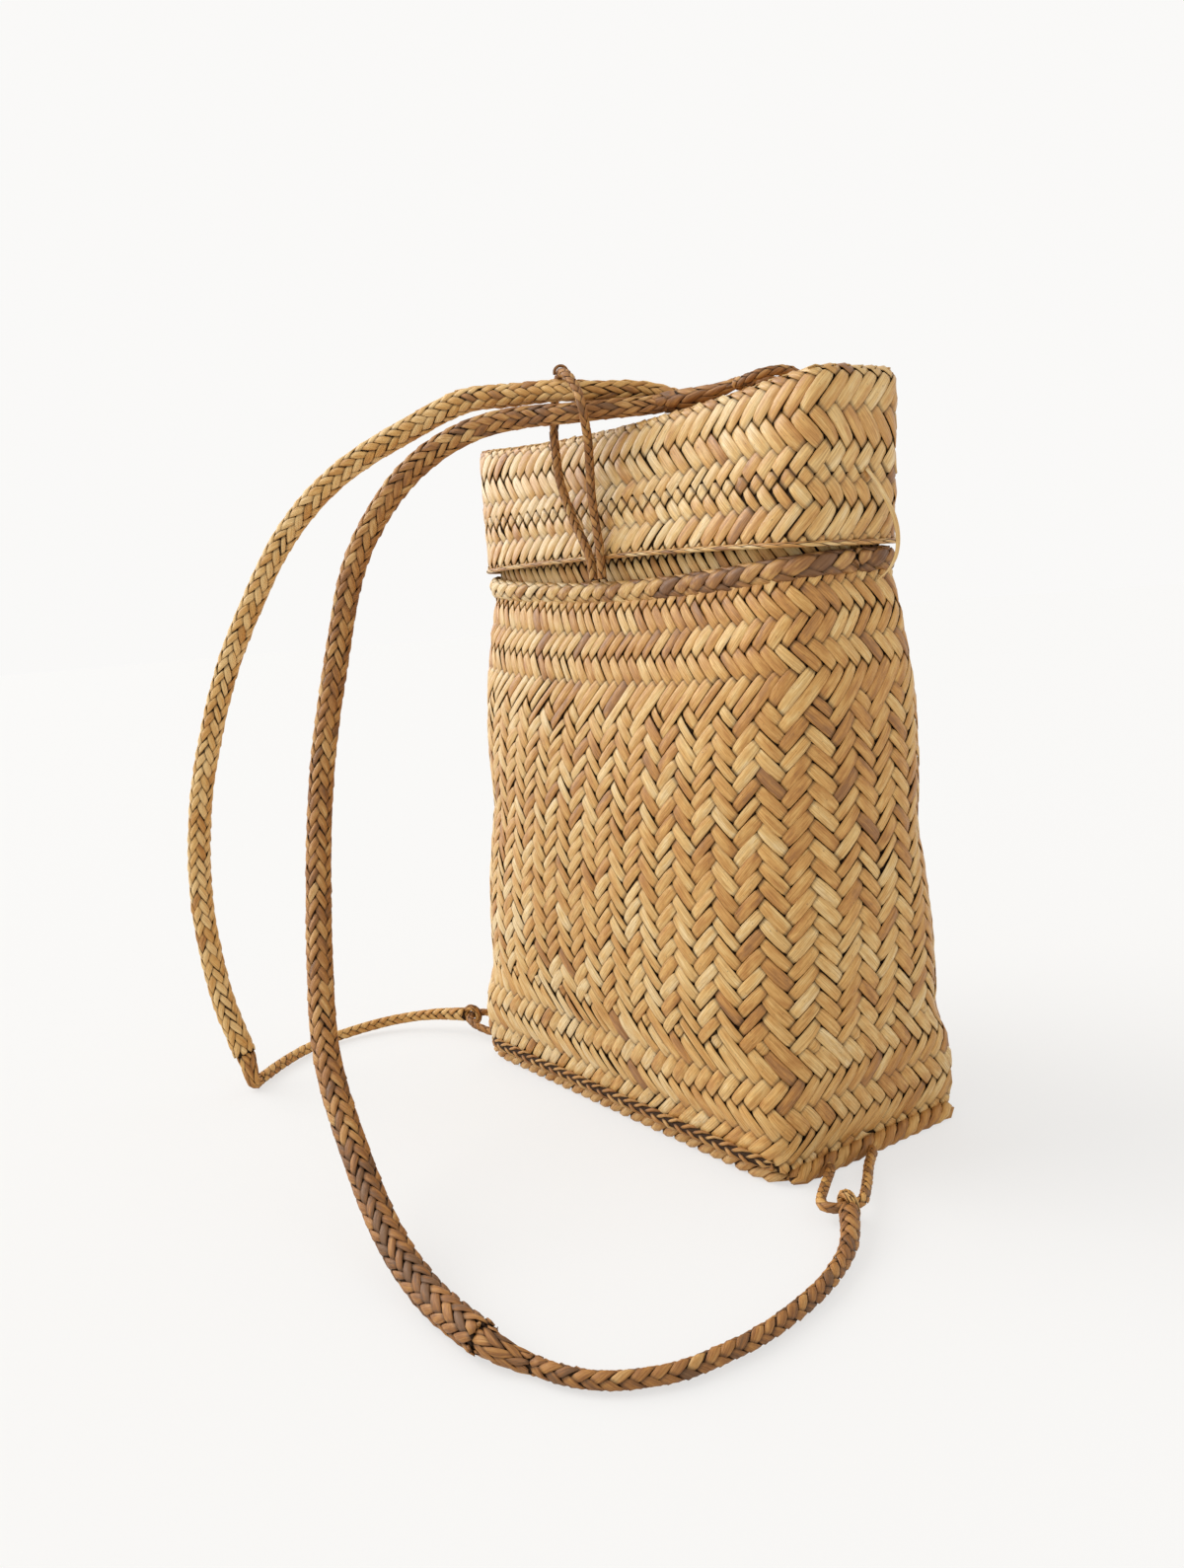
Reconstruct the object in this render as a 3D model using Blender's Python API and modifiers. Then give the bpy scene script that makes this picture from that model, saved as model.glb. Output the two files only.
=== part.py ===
"""Plaited pack basket with a telescoping lid and two braided shoulder straps.

Metres, +Z up. The origin is on the floor under the middle of the base. +X is the right
narrow side, -Y is the wearer's wide side, where both straps arch out and down.
"""
import math
from collections import namedtuple

import bmesh
import bpy
import numpy as np
from mathutils import Matrix, Vector

COLLECTION_NAME = "pack_basket"

# Driving dimensions of the plaited pieces
CLEARANCE = 0.0003
WALL = 0.0024
PANEL_THICKNESS = 0.0024
EDGING_RADIUS = 0.0028
EDGING_REACH = 0.0012

# Outside sizes of the body at four heights
BASE_WIDTH = 0.2840
BASE_DEPTH = 0.1340
LOW_HEIGHT = 0.0615
LOW_WIDTH = 0.2986
LOW_DEPTH = 0.1518
BELLY_HEIGHT = 0.1690
BELLY_WIDTH = 0.3145
BELLY_DEPTH = 0.1466
SHOULDER_HEIGHT = 0.3074
SHOULDER_WIDTH = 0.2947
SHOULDER_DEPTH = 0.0813

# Squareness: 2 is an ellipse, large numbers are a rectangle
BASE_SQUARENESS = 40.0
LOW_SQUARENESS = 4.6
BELLY_SQUARENESS = 2.8
SHOULDER_SQUARENESS = 6.0

# Rim braid, which dips in the middle of the wide sides, falls to the right and leans to the wearer's side
RIM_HALF_HEIGHT = 0.0060
RIM_HALF_THICKNESS = 0.0030
RIM_DIP = 0.0033
RIM_RISE = 0.0048
RIM_TILT = 0.030
RIM_LEAN = 0.030
RIM_CLEARANCE = 0.0007

# Neck collar, which the lid slides over
NECK_CLEARANCE = 0.0010
NECK_TUCK = 0.0060
NECK_RISE = 0.0546
NECK_TOP_WIDTH = 0.2886
NECK_TOP_DEPTH = 0.0697

# Lid, which sits snugly over the neck collar, close above the rim braid
LID_HEIGHT = 0.0812
LID_EDGE_OUTSET = 0.0030
LID_EDGE_DROP = 0.0026
LID_TOP_WIDTH = 0.3200
LID_TOP_DEPTH = 0.0676
LID_TOP_SQUARENESS = 7.5
LID_ROUND = 0.0070
LID_SAG = 0.0080
LID_CROWN = 0.0025
LID_TILT = 0.028
LID_TOP_TILT = 0.020

# Braids and cords
STRAP_RADIUS = 0.0072
STRAP_TIP_RADIUS = 0.0048
STRAP_TAPER_LENGTH = 0.1500
TAIL_RADIUS = 0.00375
TAIL_END_RADIUS = 0.0050
TAIL_SWELL_LENGTH = 0.0400
TIE_RADIUS = 0.0026
BASE_LOOP_RADIUS = 0.0026
EYE_RADIUS = 0.0058
EYE_TUBE_RADIUS = 0.0024
KNOT_RADIUS = 0.0038
KNOT_TUBE_RADIUS = 0.0009
TETHER_WIDTH = 0.0034
TETHER_THICKNESS = 0.0008

# Mesh densities
SHORT_SIDE_STEPS = 5
LONG_SIDE_STEPS = 11
OUTLINE_SAMPLES = 400
BODY_LEVEL_SHARES = (0, 0.04, 0.1, 0.17, 0.26, 0.38, 0.5, 0.63, 0.76, 0.88, 1)
NECK_LEVEL_SHARES = (0, 0.1, 0.22, 0.6, 1)
LID_LEVEL_SHARES = (0, 0.34, 0.68, 1)
LID_ROUND_STEPS = 4
LID_TOP_SHARES = (0.75, 0.5, 0.25)
RIM_SIDES = 10
CORD_RESOLUTION = 2
BINDING_SIDES = 12
ROUND_SEGMENTS = 20
ROUND_SIDES = 8

Section = namedtuple("Section", "height width depth squareness")

BODY_SECTIONS = (
    Section(0, BASE_WIDTH - 2 * EDGING_REACH, BASE_DEPTH - 2 * EDGING_REACH, BASE_SQUARENESS),
    Section(LOW_HEIGHT, LOW_WIDTH, LOW_DEPTH, LOW_SQUARENESS),
    Section(BELLY_HEIGHT, BELLY_WIDTH, BELLY_DEPTH, BELLY_SQUARENESS),
    Section(SHOULDER_HEIGHT, SHOULDER_WIDTH, SHOULDER_DEPTH, SHOULDER_SQUARENESS),
)

# Routes of the cords: points that each cord's middle line runs through, in metres.
# The right strap runs from the binding on the lid to its splice on the floor.
RIGHT_STRAP_ROUTE = (
    (0.0366, -0.0198, 0.4026), (0.0300, -0.0234, 0.4026), (0.0210, -0.0303, 0.4028),
    (0.0120, -0.0400, 0.4030), (0.0040, -0.0500, 0.4027), (-0.0250, -0.0652, 0.4047),
    (-0.0520, -0.0825, 0.4038), (-0.0750, -0.1010, 0.3948), (-0.0935, -0.1190, 0.3775),
    (-0.1060, -0.1345, 0.3540), (-0.1130, -0.1470, 0.3270), (-0.1148, -0.1562, 0.2971),
    (-0.1130, -0.1655, 0.2671), (-0.1090, -0.1752, 0.2376), (-0.1018, -0.1849, 0.2083),
    (-0.0915, -0.1940, 0.1798), (-0.0787, -0.2030, 0.1525), (-0.0636, -0.2120, 0.1266),
    (-0.0464, -0.2212, 0.1024), (-0.0268, -0.2300, 0.0801), (-0.0037, -0.2364, 0.0603),
    (0.0222, -0.2412, 0.0432), (0.0487, -0.2459, 0.0285), (0.0770, -0.2500, 0.0170),
    (0.1070, -0.2525, 0.0097), (0.1380, -0.2533, 0.0077), (0.1620, -0.2520, 0.0075),
)
LEFT_STRAP_ROUTE = (
    (0.0366, -0.0084, 0.4040), (0.0300, -0.0096, 0.4062), (0.0240, -0.0122, 0.4092),
    (0.0150, -0.0198, 0.4128), (0.0090, -0.0305, 0.4136), (0.0030, -0.0425, 0.4140),
    (-0.0230, -0.0558, 0.4184), (-0.0503, -0.0672, 0.4205), (-0.0758, -0.0799, 0.4219),
    (-0.0990, -0.0933, 0.4155), (-0.1208, -0.1077, 0.4065), (-0.1417, -0.1230, 0.3960),
    (-0.1599, -0.1376, 0.3824), (-0.1758, -0.1513, 0.3650), (-0.1890, -0.1634, 0.3446),
    (-0.1996, -0.1738, 0.3218), (-0.2090, -0.1840, 0.2983), (-0.2168, -0.1933, 0.2738),
    (-0.2228, -0.2013, 0.2482), (-0.2272, -0.2084, 0.2219), (-0.2303, -0.2146, 0.1952),
    (-0.2315, -0.2191, 0.1679), (-0.2309, -0.2222, 0.1404), (-0.2283, -0.2234, 0.1129),
    (-0.2238, -0.2227, 0.0857), (-0.2176, -0.2207, 0.0590), (-0.2093, -0.2166, 0.0345),
    (-0.2052, -0.2147, 0.0235),
)
RIGHT_TAIL_ROUTE = (
    (0.1857, -0.2440, 0.0045), (0.1990, -0.2384, 0.0042), (0.2110, -0.2300, 0.0042),
    (0.2200, -0.2180, 0.0042), (0.2265, -0.2040, 0.0042), (0.2292, -0.1880, 0.0042),
    (0.2303, -0.1680, 0.0042), (0.2278, -0.1460, 0.0042), (0.2225, -0.1230, 0.0043),
    (0.2155, -0.1050, 0.0046), (0.2095, -0.0935, 0.0054), (0.2033, -0.0848, 0.0066),
    (0.1975, -0.0787, 0.0078), (0.1928, -0.0741, 0.0083),
)
LEFT_TAIL_ROUTE = (
    (-0.2032, -0.2078, 0.0045), (-0.2110, -0.1990, 0.0042), (-0.2240, -0.1825, 0.0042),
    (-0.2370, -0.1610, 0.0042), (-0.2445, -0.1410, 0.0043), (-0.2462, -0.1220, 0.0048),
    (-0.2385, -0.0925, 0.0074), (-0.2260, -0.0780, 0.0098), (-0.2110, -0.0668, 0.0119),
    (-0.1952, -0.0581, 0.0131),
)
BACK_TIE_ROUTE = (
    (0.0009, -0.0472, 0.3105), (-0.0005, -0.0470, 0.3320), (-0.0035, -0.0467, 0.3490),
    (-0.0039, -0.0470, 0.3660), (0.0005, -0.0497, 0.3825), (0.0089, -0.0566, 0.3924),
    (0.0131, -0.0612, 0.4021), (0.0085, -0.0602, 0.4118), (-0.0012, -0.0590, 0.4222),
    (-0.0140, -0.0545, 0.4266), (-0.0250, -0.0490, 0.4249), (-0.0318, -0.0470, 0.4190),
    (-0.0316, -0.0484, 0.4080), (-0.0280, -0.0524, 0.3985), (-0.0272, -0.0535, 0.3930),
    (-0.0300, -0.0510, 0.3850), (-0.0334, -0.0482, 0.3744), (-0.0307, -0.0470, 0.3610),
    (-0.0242, -0.0469, 0.3474), (-0.0163, -0.0472, 0.3354), (-0.0097, -0.0475, 0.3240),
    (-0.0072, -0.0475, 0.3105),
)
FRONT_TIE_ROUTE = (
    (0.0490, 0.0476, 0.3130), (0.0540, 0.0470, 0.3280), (0.0620, 0.0453, 0.3450),
    (0.0720, 0.0430, 0.3620), (0.0800, 0.0404, 0.3780), (0.0885, 0.0378, 0.3900),
    (0.0960, 0.0312, 0.3999), (0.1040, 0.0200, 0.4015), (0.1110, 0.0080, 0.4018),
    (0.1135, -0.0030, 0.4046), (0.1110, -0.0125, 0.4049), (0.1040, -0.0180, 0.4038),
    (0.0950, -0.0196, 0.4026), (0.0893, -0.0180, 0.4024), (0.0875, -0.0138, 0.4020),
    (0.0900, -0.0094, 0.4020), (0.0960, -0.0072, 0.4024), (0.1025, -0.0030, 0.4018),
    (0.1050, 0.0055, 0.4019), (0.1020, 0.0160, 0.4017), (0.0940, 0.0262, 0.4010),
    (0.0855, 0.0348, 0.3968), (0.0780, 0.0388, 0.3860), (0.0700, 0.0414, 0.3740),
    (0.0600, 0.0441, 0.3560), (0.0500, 0.0464, 0.3380), (0.0440, 0.0476, 0.3220),
    (0.0420, 0.0478, 0.3130),
)
RIGHT_BASE_LOOP_ROUTE = (
    (0.1438, -0.0372, 0.0036), (0.1485, -0.0402, 0.0045), (0.1550, -0.0480, 0.0055),
    (0.1640, -0.0605, 0.0066), (0.1725, -0.0715, 0.0076), (0.1800, -0.0765, 0.0082),
    (0.1855, -0.0735, 0.0084), (0.1873, -0.0685, 0.0084), (0.1882, -0.0615, 0.0082),
    (0.1850, -0.0550, 0.0077), (0.1780, -0.0460, 0.0070), (0.1670, -0.0325, 0.0058),
    (0.1550, -0.0170, 0.0048), (0.1490, -0.0094, 0.0042), (0.1438, -0.0068, 0.0036),
)
LEFT_BASE_LOOP_ROUTE = (
    (-0.1443, -0.0380, 0.0036), (-0.1490, -0.0425, 0.0045), (-0.1580, -0.0510, 0.0060),
    (-0.1690, -0.0565, 0.0080), (-0.1790, -0.0585, 0.0105), (-0.1868, -0.0556, 0.0126),
    (-0.1884, -0.0485, 0.0132), (-0.1840, -0.0410, 0.0126), (-0.1750, -0.0310, 0.0108),
    (-0.1620, -0.0180, 0.0075), (-0.1510, -0.0100, 0.0050), (-0.1440, -0.0062, 0.0036),
)
TETHER_ROUTE = (
    (0.1558, 0.0020, 0.3510), (0.1567, 0.0075, 0.3450), (0.1578, 0.0125, 0.3370),
    (0.1590, 0.0170, 0.3270), (0.1590, 0.0190, 0.3160), (0.1575, 0.0185, 0.3080),
    (0.1542, 0.0160, 0.3015), (0.1500, 0.0130, 0.2975),
)

# Cross sections of the binding along its run: middle point, half width and half height
BINDING_RUN = (
    ((0.0404, -0.0141, 0.4030), 0.0098, 0.0052),
    ((0.0520, -0.0143, 0.4026), 0.0086, 0.0048),
    ((0.0660, -0.0142, 0.4027), 0.0060, 0.0040),
    ((0.0844, -0.0139, 0.4036), 0.0034, 0.0030),
)

# Spacing of a cord's points, as a share of its diameter
STRAP_SPACING_SHARE = 1.8
TAIL_SPACING_SHARE = 1.8
TIE_SPACING_SHARE = 1.2
BASE_LOOP_SPACING_SHARE = 1.5

# Length of a splice's straight ends, as a share of its run
SPLICE_END_SHARE = 0.3

# Eyes on the tails, each round the outer end of a base loop
RIGHT_EYE_PLACE = (0.1873, -0.0685, 0.0084)
RIGHT_EYE_AXIS = (0.22, 0.97, 0)
LEFT_EYE_PLACE = (-0.1877, -0.0532, 0.0130)
LEFT_EYE_AXIS = (-0.42, 0.90, 0.08)

# The knot at the top of the back tie loop
KNOT_PLACE = (-0.0140, -0.0545, 0.4266)
KNOT_AXIS = (-0.22, 0.09, 0.03)
KNOT_HALF_TURN = math.radians(105)
KNOT_STEPS = 8

# Colour, roughness
STRAW = ((0.62, 0.43, 0.22, 1), 0.6)
BROWN_STRAW = ((0.36, 0.22, 0.11, 1), 0.65)
GOLDEN_STRAW = ((0.50, 0.33, 0.16, 1), 0.62)


def clear_scene():
    """Remove every object of the open file."""
    for item in list(bpy.data.objects):
        bpy.data.objects.remove(item, do_unlink=True)


def new_collection(name):
    """Add a collection under the scene's own."""
    made = bpy.data.collections.new(name)
    bpy.context.scene.collection.children.link(made)
    return made


def plaited_material(name, finish):
    """Plain dry plant fibre in one colour."""
    colour, roughness = finish
    material = bpy.data.materials.new(name)
    material.use_nodes = True
    shader = material.node_tree.nodes["Principled BSDF"]
    shader.inputs["Base Color"].default_value = colour
    shader.inputs["Roughness"].default_value = roughness
    shader.inputs["Metallic"].default_value = 0
    return material


def add_object(name, data, collection, finish):
    """Link an object with its own material."""
    item = bpy.data.objects.new(name, data)
    data.materials.append(plaited_material(name + "_fibre", finish))
    collection.objects.link(item)
    return item


def value_through(sections, field, height):
    """Value of a field at a height, on the smooth curve through all the sections."""
    total = 0
    for own in sections:
        weight = 1
        for other in sections:
            if other is not own:
                weight *= (height - other.height) / (own.height - other.height)
        total += getattr(own, field) * weight
    return total


def body_section(height):
    """Outside section of the body at a height."""
    heights = [s.height for s in BODY_SECTIONS]
    logs = [math.log(s.squareness) for s in BODY_SECTIONS]
    width = value_through(BODY_SECTIONS, "width", height)
    depth = value_through(BODY_SECTIONS, "depth", height)
    return Section(height, width, depth, math.exp(np.interp(height, heights, logs)))


def outline(width, depth, squareness):
    """Points round a section, counted from the middle of its +X side, evenly spaced to each corner."""
    quarter = []
    corner = math.pi / 4
    for first, steps in ((0, SHORT_SIDE_STEPS), (corner, LONG_SIDE_STEPS)):
        angles = np.linspace(first, first + corner, OUTLINE_SAMPLES)
        cosines = np.where(angles < 2 * corner, np.cos(angles), 0)
        xs = width / 2 * np.abs(cosines) ** (2 / squareness)
        ys = depth / 2 * np.sin(angles) ** (2 / squareness)
        way = np.concatenate([[0], np.cumsum(np.hypot(np.diff(xs), np.diff(ys)))])
        even = np.linspace(0, way[-1], steps + 1)[:-1]
        quarter += list(zip(np.interp(even, way, xs), np.interp(even, way, ys)))
    inner = quarter[1:]
    points = list(quarter)
    points += [(0, depth / 2)] + [(-x, y) for x, y in reversed(inner)]
    points += [(-width / 2, 0)] + [(-x, -y) for x, y in inner]
    points += [(0, -depth / 2)] + [(x, -y) for x, y in reversed(inner)]
    return points


def ring(section, height_at, grow=0):
    """One ring of a loft: a section's outline, grown by a margin, at a height that may change along it."""
    points = outline(section.width + 2 * grow, section.depth + 2 * grow, section.squareness)
    return [(x, y, height_at(x)) for x, y in points]


def surface_ring(section_at, reference_height, height_at, grow=0):
    """A ring on a surface, grown by a margin, whose points keep to the surface at their own height."""
    base = section_at(reference_height)
    points = []
    for x, y in outline(base.width, base.depth, base.squareness):
        height = height_at(x, y)
        here = section_at(height)
        wider = (here.width + 2 * grow) / base.width
        deeper = (here.depth + 2 * grow) / base.depth
        points.append((x * wider, y * deeper, height))
    return points


def loft_mesh(name, rings, close_rings=False, caps=False, tip=None):
    """Mesh through rings of equal count, open, closed on itself, capped or drawn to a tip."""
    mesh = bpy.data.meshes.new(name)
    shape = bmesh.new()
    rows = [[shape.verts.new(p) for p in points] for points in rings]
    count = len(rows[0])
    pairs = list(zip(rows, rows[1:]))
    if close_rings:
        pairs.append((rows[-1], rows[0]))
    for lower, upper in pairs:
        for i in range(count):
            j = (i + 1) % count
            shape.faces.new((lower[i], lower[j], upper[j], upper[i]))
    if caps:
        shape.faces.new(list(reversed(rows[0])))
        shape.faces.new(rows[-1])
    if tip is not None:
        top = shape.verts.new(tip)
        last = rows[-1]
        for i in range(count):
            shape.faces.new((last[i], last[(i + 1) % count], top))
    for face in shape.faces:
        face.smooth = True
    shape.to_mesh(mesh)
    shape.free()
    return mesh


def give_wall(item, thickness):
    """Turn an open shell into a wall that grows inwards."""
    solid = item.modifiers.new("wall", "SOLIDIFY")
    solid.thickness = thickness
    solid.offset = -1
    solid.use_rim = True


def smooth_run(route, spacing):
    """Evenly spaced points on the smooth curve through a route's points."""
    knots = np.array(route, float)
    way = np.concatenate([[0], np.cumsum(np.linalg.norm(np.diff(knots, axis=0), axis=1))])
    steps = np.diff(way)
    count = len(knots)
    system = np.zeros((count, count))
    target = np.zeros((count, 3))
    system[0, 0] = system[-1, -1] = 1
    for i in range(1, count - 1):
        system[i, i - 1] = steps[i - 1]
        system[i, i] = 2 * (steps[i - 1] + steps[i])
        system[i, i + 1] = steps[i]
        target[i] = 6 * ((knots[i + 1] - knots[i]) / steps[i] - (knots[i] - knots[i - 1]) / steps[i - 1])
    bends = np.linalg.solve(system, target)
    pieces = max(2, round(way[-1] / spacing))
    run = []
    for s in np.linspace(0, way[-1], pieces + 1):
        i = min(int(np.searchsorted(way, s, side="right")) - 1, count - 2)
        h, a, b = steps[i], way[i + 1] - s, s - way[i]
        point = (bends[i] * a ** 3 + bends[i + 1] * b ** 3) / (6 * h)
        point += (knots[i] / h - bends[i] * h / 6) * a + (knots[i + 1] / h - bends[i + 1] * h / 6) * b
        run.append(point)
    return np.array(run)


def tube(name, points, radii, collection, finish):
    """A round cord along points, with a radius at each."""
    curve = bpy.data.curves.new(name, "CURVE")
    curve.dimensions = "3D"
    curve.bevel_depth = max(radii)
    curve.bevel_resolution = CORD_RESOLUTION
    curve.use_fill_caps = True
    spline = curve.splines.new("POLY")
    spline.points.add(len(points) - 1)
    for node, point, radius in zip(spline.points, points, radii):
        node.co = (*point, 1)
        node.radius = radius / curve.bevel_depth
        node.tilt = 0
    return add_object(name, curve, collection, finish)


def even_cord(name, route, radius, spacing_share, collection, finish):
    """A cord of one thickness along a route."""
    run = smooth_run(route, spacing_share * 2 * radius)
    return tube(name, run, [radius] * len(run), collection, finish)


def rim_height(x, y):
    """Height of the rim braid's middle line at a place round the shoulder."""
    share = x / (SHOULDER_WIDTH / 2)
    sagging = SHOULDER_HEIGHT - RIM_DIP + (RIM_DIP + RIM_RISE) * share ** 2
    return sagging - RIM_TILT * x + RIM_LEAN * y


def wall_section(height):
    """Outside section of the body wall, which stands upright above the shoulder."""
    return body_section(min(height, SHOULDER_HEIGHT))


def neck_section(height):
    """Outside section of the neck collar: inside the wall up to the shoulder, then drawn in to its top."""
    inset = WALL + NECK_CLEARANCE
    low = wall_section(height)
    share = max(0, (height - SHOULDER_HEIGHT) / NECK_RISE)
    width = (low.width - 2 * inset) * (1 - share) + NECK_TOP_WIDTH * share
    depth = (low.depth - 2 * inset) * (1 - share) + NECK_TOP_DEPTH * share
    return Section(height, width, depth, SHOULDER_SQUARENESS)


def lid_seat_height():
    """Height of the lid's lower edge at its left end, where it comes nearest to the rim braid."""
    return rim_height(-SHOULDER_WIDTH / 2, SHOULDER_DEPTH / 2) + RIM_HALF_HEIGHT + CLEARANCE


def lid_middle_edge_height():
    """Height of the lid's lower edge in the middle of its wide sides."""
    half = SHOULDER_WIDTH / 2 + LID_EDGE_OUTSET
    return lid_seat_height() - LID_TILT * half + LID_EDGE_DROP


def lid_section(share):
    """Outside section of the lid's wall, from its lower edge at 0 to its top at 1."""
    width = (SHOULDER_WIDTH + 2 * LID_EDGE_OUTSET) * (1 - share) + LID_TOP_WIDTH * share
    depth = (SHOULDER_DEPTH + 2 * LID_EDGE_OUTSET) * (1 - share) + LID_TOP_DEPTH * share
    squareness = SHOULDER_SQUARENESS * (1 - share) + LID_TOP_SQUARENESS * share
    return Section(0, width, depth, squareness)


def lid_edge_height(x):
    """Height of the lid's lower edge at a place along the width."""
    half = SHOULDER_WIDTH / 2 + LID_EDGE_OUTSET
    return lid_middle_edge_height() - LID_EDGE_DROP * (x / half) ** 2 - LID_TILT * x


def lid_top_height(x):
    """Height of the lid's top edge at a place along the width."""
    share = x / (LID_TOP_WIDTH / 2)
    return lid_middle_edge_height() + LID_HEIGHT - LID_TOP_TILT * x - LID_SAG * (1 - share ** 2)


def build_body_wall(collection):
    """The plaited wall from the base edging to the rim braid."""
    foot = 2 * EDGING_RADIUS + CLEARANCE
    mean_top = SHOULDER_HEIGHT - RIM_HALF_HEIGHT - RIM_CLEARANCE
    rings = []
    for share in BODY_LEVEL_SHARES:

        def height_at(x, y, share=share):
            top = rim_height(x, y) - RIM_HALF_HEIGHT - RIM_CLEARANCE
            return foot + share * (top - foot)
        rings.append(surface_ring(wall_section, foot + share * (mean_top - foot), height_at))
    wall = add_object("body_wall", loft_mesh("body_wall", rings), collection, STRAW)
    give_wall(wall, WALL)


def build_base(collection):
    """The plaited floor panel and the four edgings round it."""
    centre_x = BASE_WIDTH / 2 - EDGING_RADIUS
    centre_y = BASE_DEPTH / 2 - EDGING_RADIUS
    inset = EDGING_RADIUS + CLEARANCE
    mesh = bpy.data.meshes.new("base_panel")
    shape = bmesh.new()
    size = Vector((2 * (centre_x - inset), 2 * (centre_y - inset), PANEL_THICKNESS))
    place = Matrix.Translation((0, 0, PANEL_THICKNESS / 2)) @ Matrix.Diagonal((*size, 1))
    bmesh.ops.create_cube(shape, size=1, matrix=place)
    shape.to_mesh(mesh)
    shape.free()
    add_object("base_panel", mesh, collection, STRAW)
    short = centre_y - inset
    for name, side in (("back_base_edging", -1), ("front_base_edging", 1)):
        ends = [(x * BASE_WIDTH / 2, side * centre_y, EDGING_RADIUS) for x in (-1, 1)]
        tube(name, ends, [EDGING_RADIUS] * 2, collection, BROWN_STRAW)
    for name, side in (("left_base_edging", -1), ("right_base_edging", 1)):
        ends = [(side * centre_x, y * short, EDGING_RADIUS) for y in (-1, 1)]
        tube(name, ends, [EDGING_RADIUS] * 2, collection, GOLDEN_STRAW)


def build_rim_braid(collection):
    """The braid that lies round the shoulder, on the wall's upper edge and against the neck."""
    rings = []
    for i in range(RIM_SIDES):
        turn = 2 * math.pi * i / RIM_SIDES
        rise = RIM_HALF_HEIGHT * math.sin(turn)
        reach = RIM_CLEARANCE + RIM_HALF_THICKNESS * (1 + math.cos(turn))

        def height_at(x, y, rise=rise):
            return rim_height(x, y) + rise
        rings.append(surface_ring(neck_section, SHOULDER_HEIGHT, height_at, grow=reach))
    add_object("rim_braid", loft_mesh("rim_braid", rings, close_rings=True), collection, STRAW)


def build_neck_collar(collection):
    """The plaited collar that stands up inside the lid."""
    top = SHOULDER_HEIGHT + NECK_RISE
    mean_foot = SHOULDER_HEIGHT - RIM_HALF_HEIGHT - NECK_TUCK
    rings = []
    for share in NECK_LEVEL_SHARES:

        def height_at(x, y, share=share):
            foot = rim_height(x, y) - RIM_HALF_HEIGHT - NECK_TUCK
            return foot + share * (top - foot)
        rings.append(surface_ring(neck_section, mean_foot + share * (top - mean_foot), height_at))
    collar = add_object("neck_collar", loft_mesh("neck_collar", rings), collection, STRAW)
    give_wall(collar, WALL)


def build_lid(collection):
    """The lid: a wall that tapers in depth, a rounded edge and a low crowned top."""
    rings = []
    for share in LID_LEVEL_SHARES:
        section = lid_section(share)

        def height_at(x, share=share):
            low, high = lid_edge_height(x), lid_top_height(x) - LID_ROUND
            return low + share * (high - low)
        rings.append(ring(section, height_at))
    top = lid_section(1)
    for i in range(1, LID_ROUND_STEPS + 1):
        turn = math.pi / 2 * i / LID_ROUND_STEPS
        inward = LID_ROUND * (1 - math.cos(turn))
        drop = LID_ROUND * (1 - math.sin(turn))
        rings.append(ring(top, lambda x, drop=drop: lid_top_height(x) - drop, grow=-inward))
    flat = Section(0, top.width - 2 * LID_ROUND, top.depth - 2 * LID_ROUND, top.squareness)
    for share in LID_TOP_SHARES:
        points = outline(flat.width * share, flat.depth * share, flat.squareness)
        crown = LID_CROWN * (1 - share ** 2)
        rings.append([(x, y, lid_top_height(x) + crown) for x, y in points])
    tip = (0, 0, lid_top_height(0) + LID_CROWN)
    lid = add_object("lid_shell", loft_mesh("lid_shell", rings, tip=tip), collection, STRAW)
    give_wall(lid, WALL)


def build_tether(collection):
    """The flat leaf strip that ties the lid to the body on the right narrow side."""
    run = smooth_run(TETHER_ROUTE, 2 * TETHER_WIDTH)
    outward = np.array((1, 0, 0))
    rings = []
    for i, point in enumerate(run):
        along = run[min(i + 1, len(run) - 1)] - run[max(i - 1, 0)]
        across = np.cross(along, outward)
        across *= TETHER_WIDTH / 2 / np.linalg.norm(across)
        face = np.cross(across, along)
        face *= TETHER_THICKNESS / 2 / np.linalg.norm(face)
        outer, inner = point + face, point - face
        rings.append([inner + across, inner - across, outer - across, outer + across])
    mesh = loft_mesh("lid_tether", rings, caps=True)
    add_object("lid_tether", mesh, collection, STRAW)


def way_along(run):
    """Each point's distance along a run from its first point."""
    return np.concatenate([[0], np.cumsum(np.linalg.norm(np.diff(run, axis=0), axis=1))])


def build_strap(name, route, collection):
    """A thick braided strap, which thins down towards the binding. Returns its points."""
    run = smooth_run(route, STRAP_SPACING_SHARE * 2 * STRAP_RADIUS)
    share = np.clip(way_along(run) / STRAP_TAPER_LENGTH, 0, 1)
    radii = STRAP_TIP_RADIUS + (STRAP_RADIUS - STRAP_TIP_RADIUS) * share
    tube(name, run, list(radii), collection, BROWN_STRAW)
    return run


def build_tail(name, route, collection, finish):
    """A thin braided tail from its splice to its eye, where it swells. Returns its points."""
    run = smooth_run(route, TAIL_SPACING_SHARE * 2 * TAIL_RADIUS)
    way = way_along(run)
    share = np.clip(1 - (way[-1] - way) / TAIL_SWELL_LENGTH, 0, 1)
    radii = TAIL_RADIUS + (TAIL_END_RADIUS - TAIL_RADIUS) * share
    tube(name, run, list(radii), collection, finish)
    return run


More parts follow.
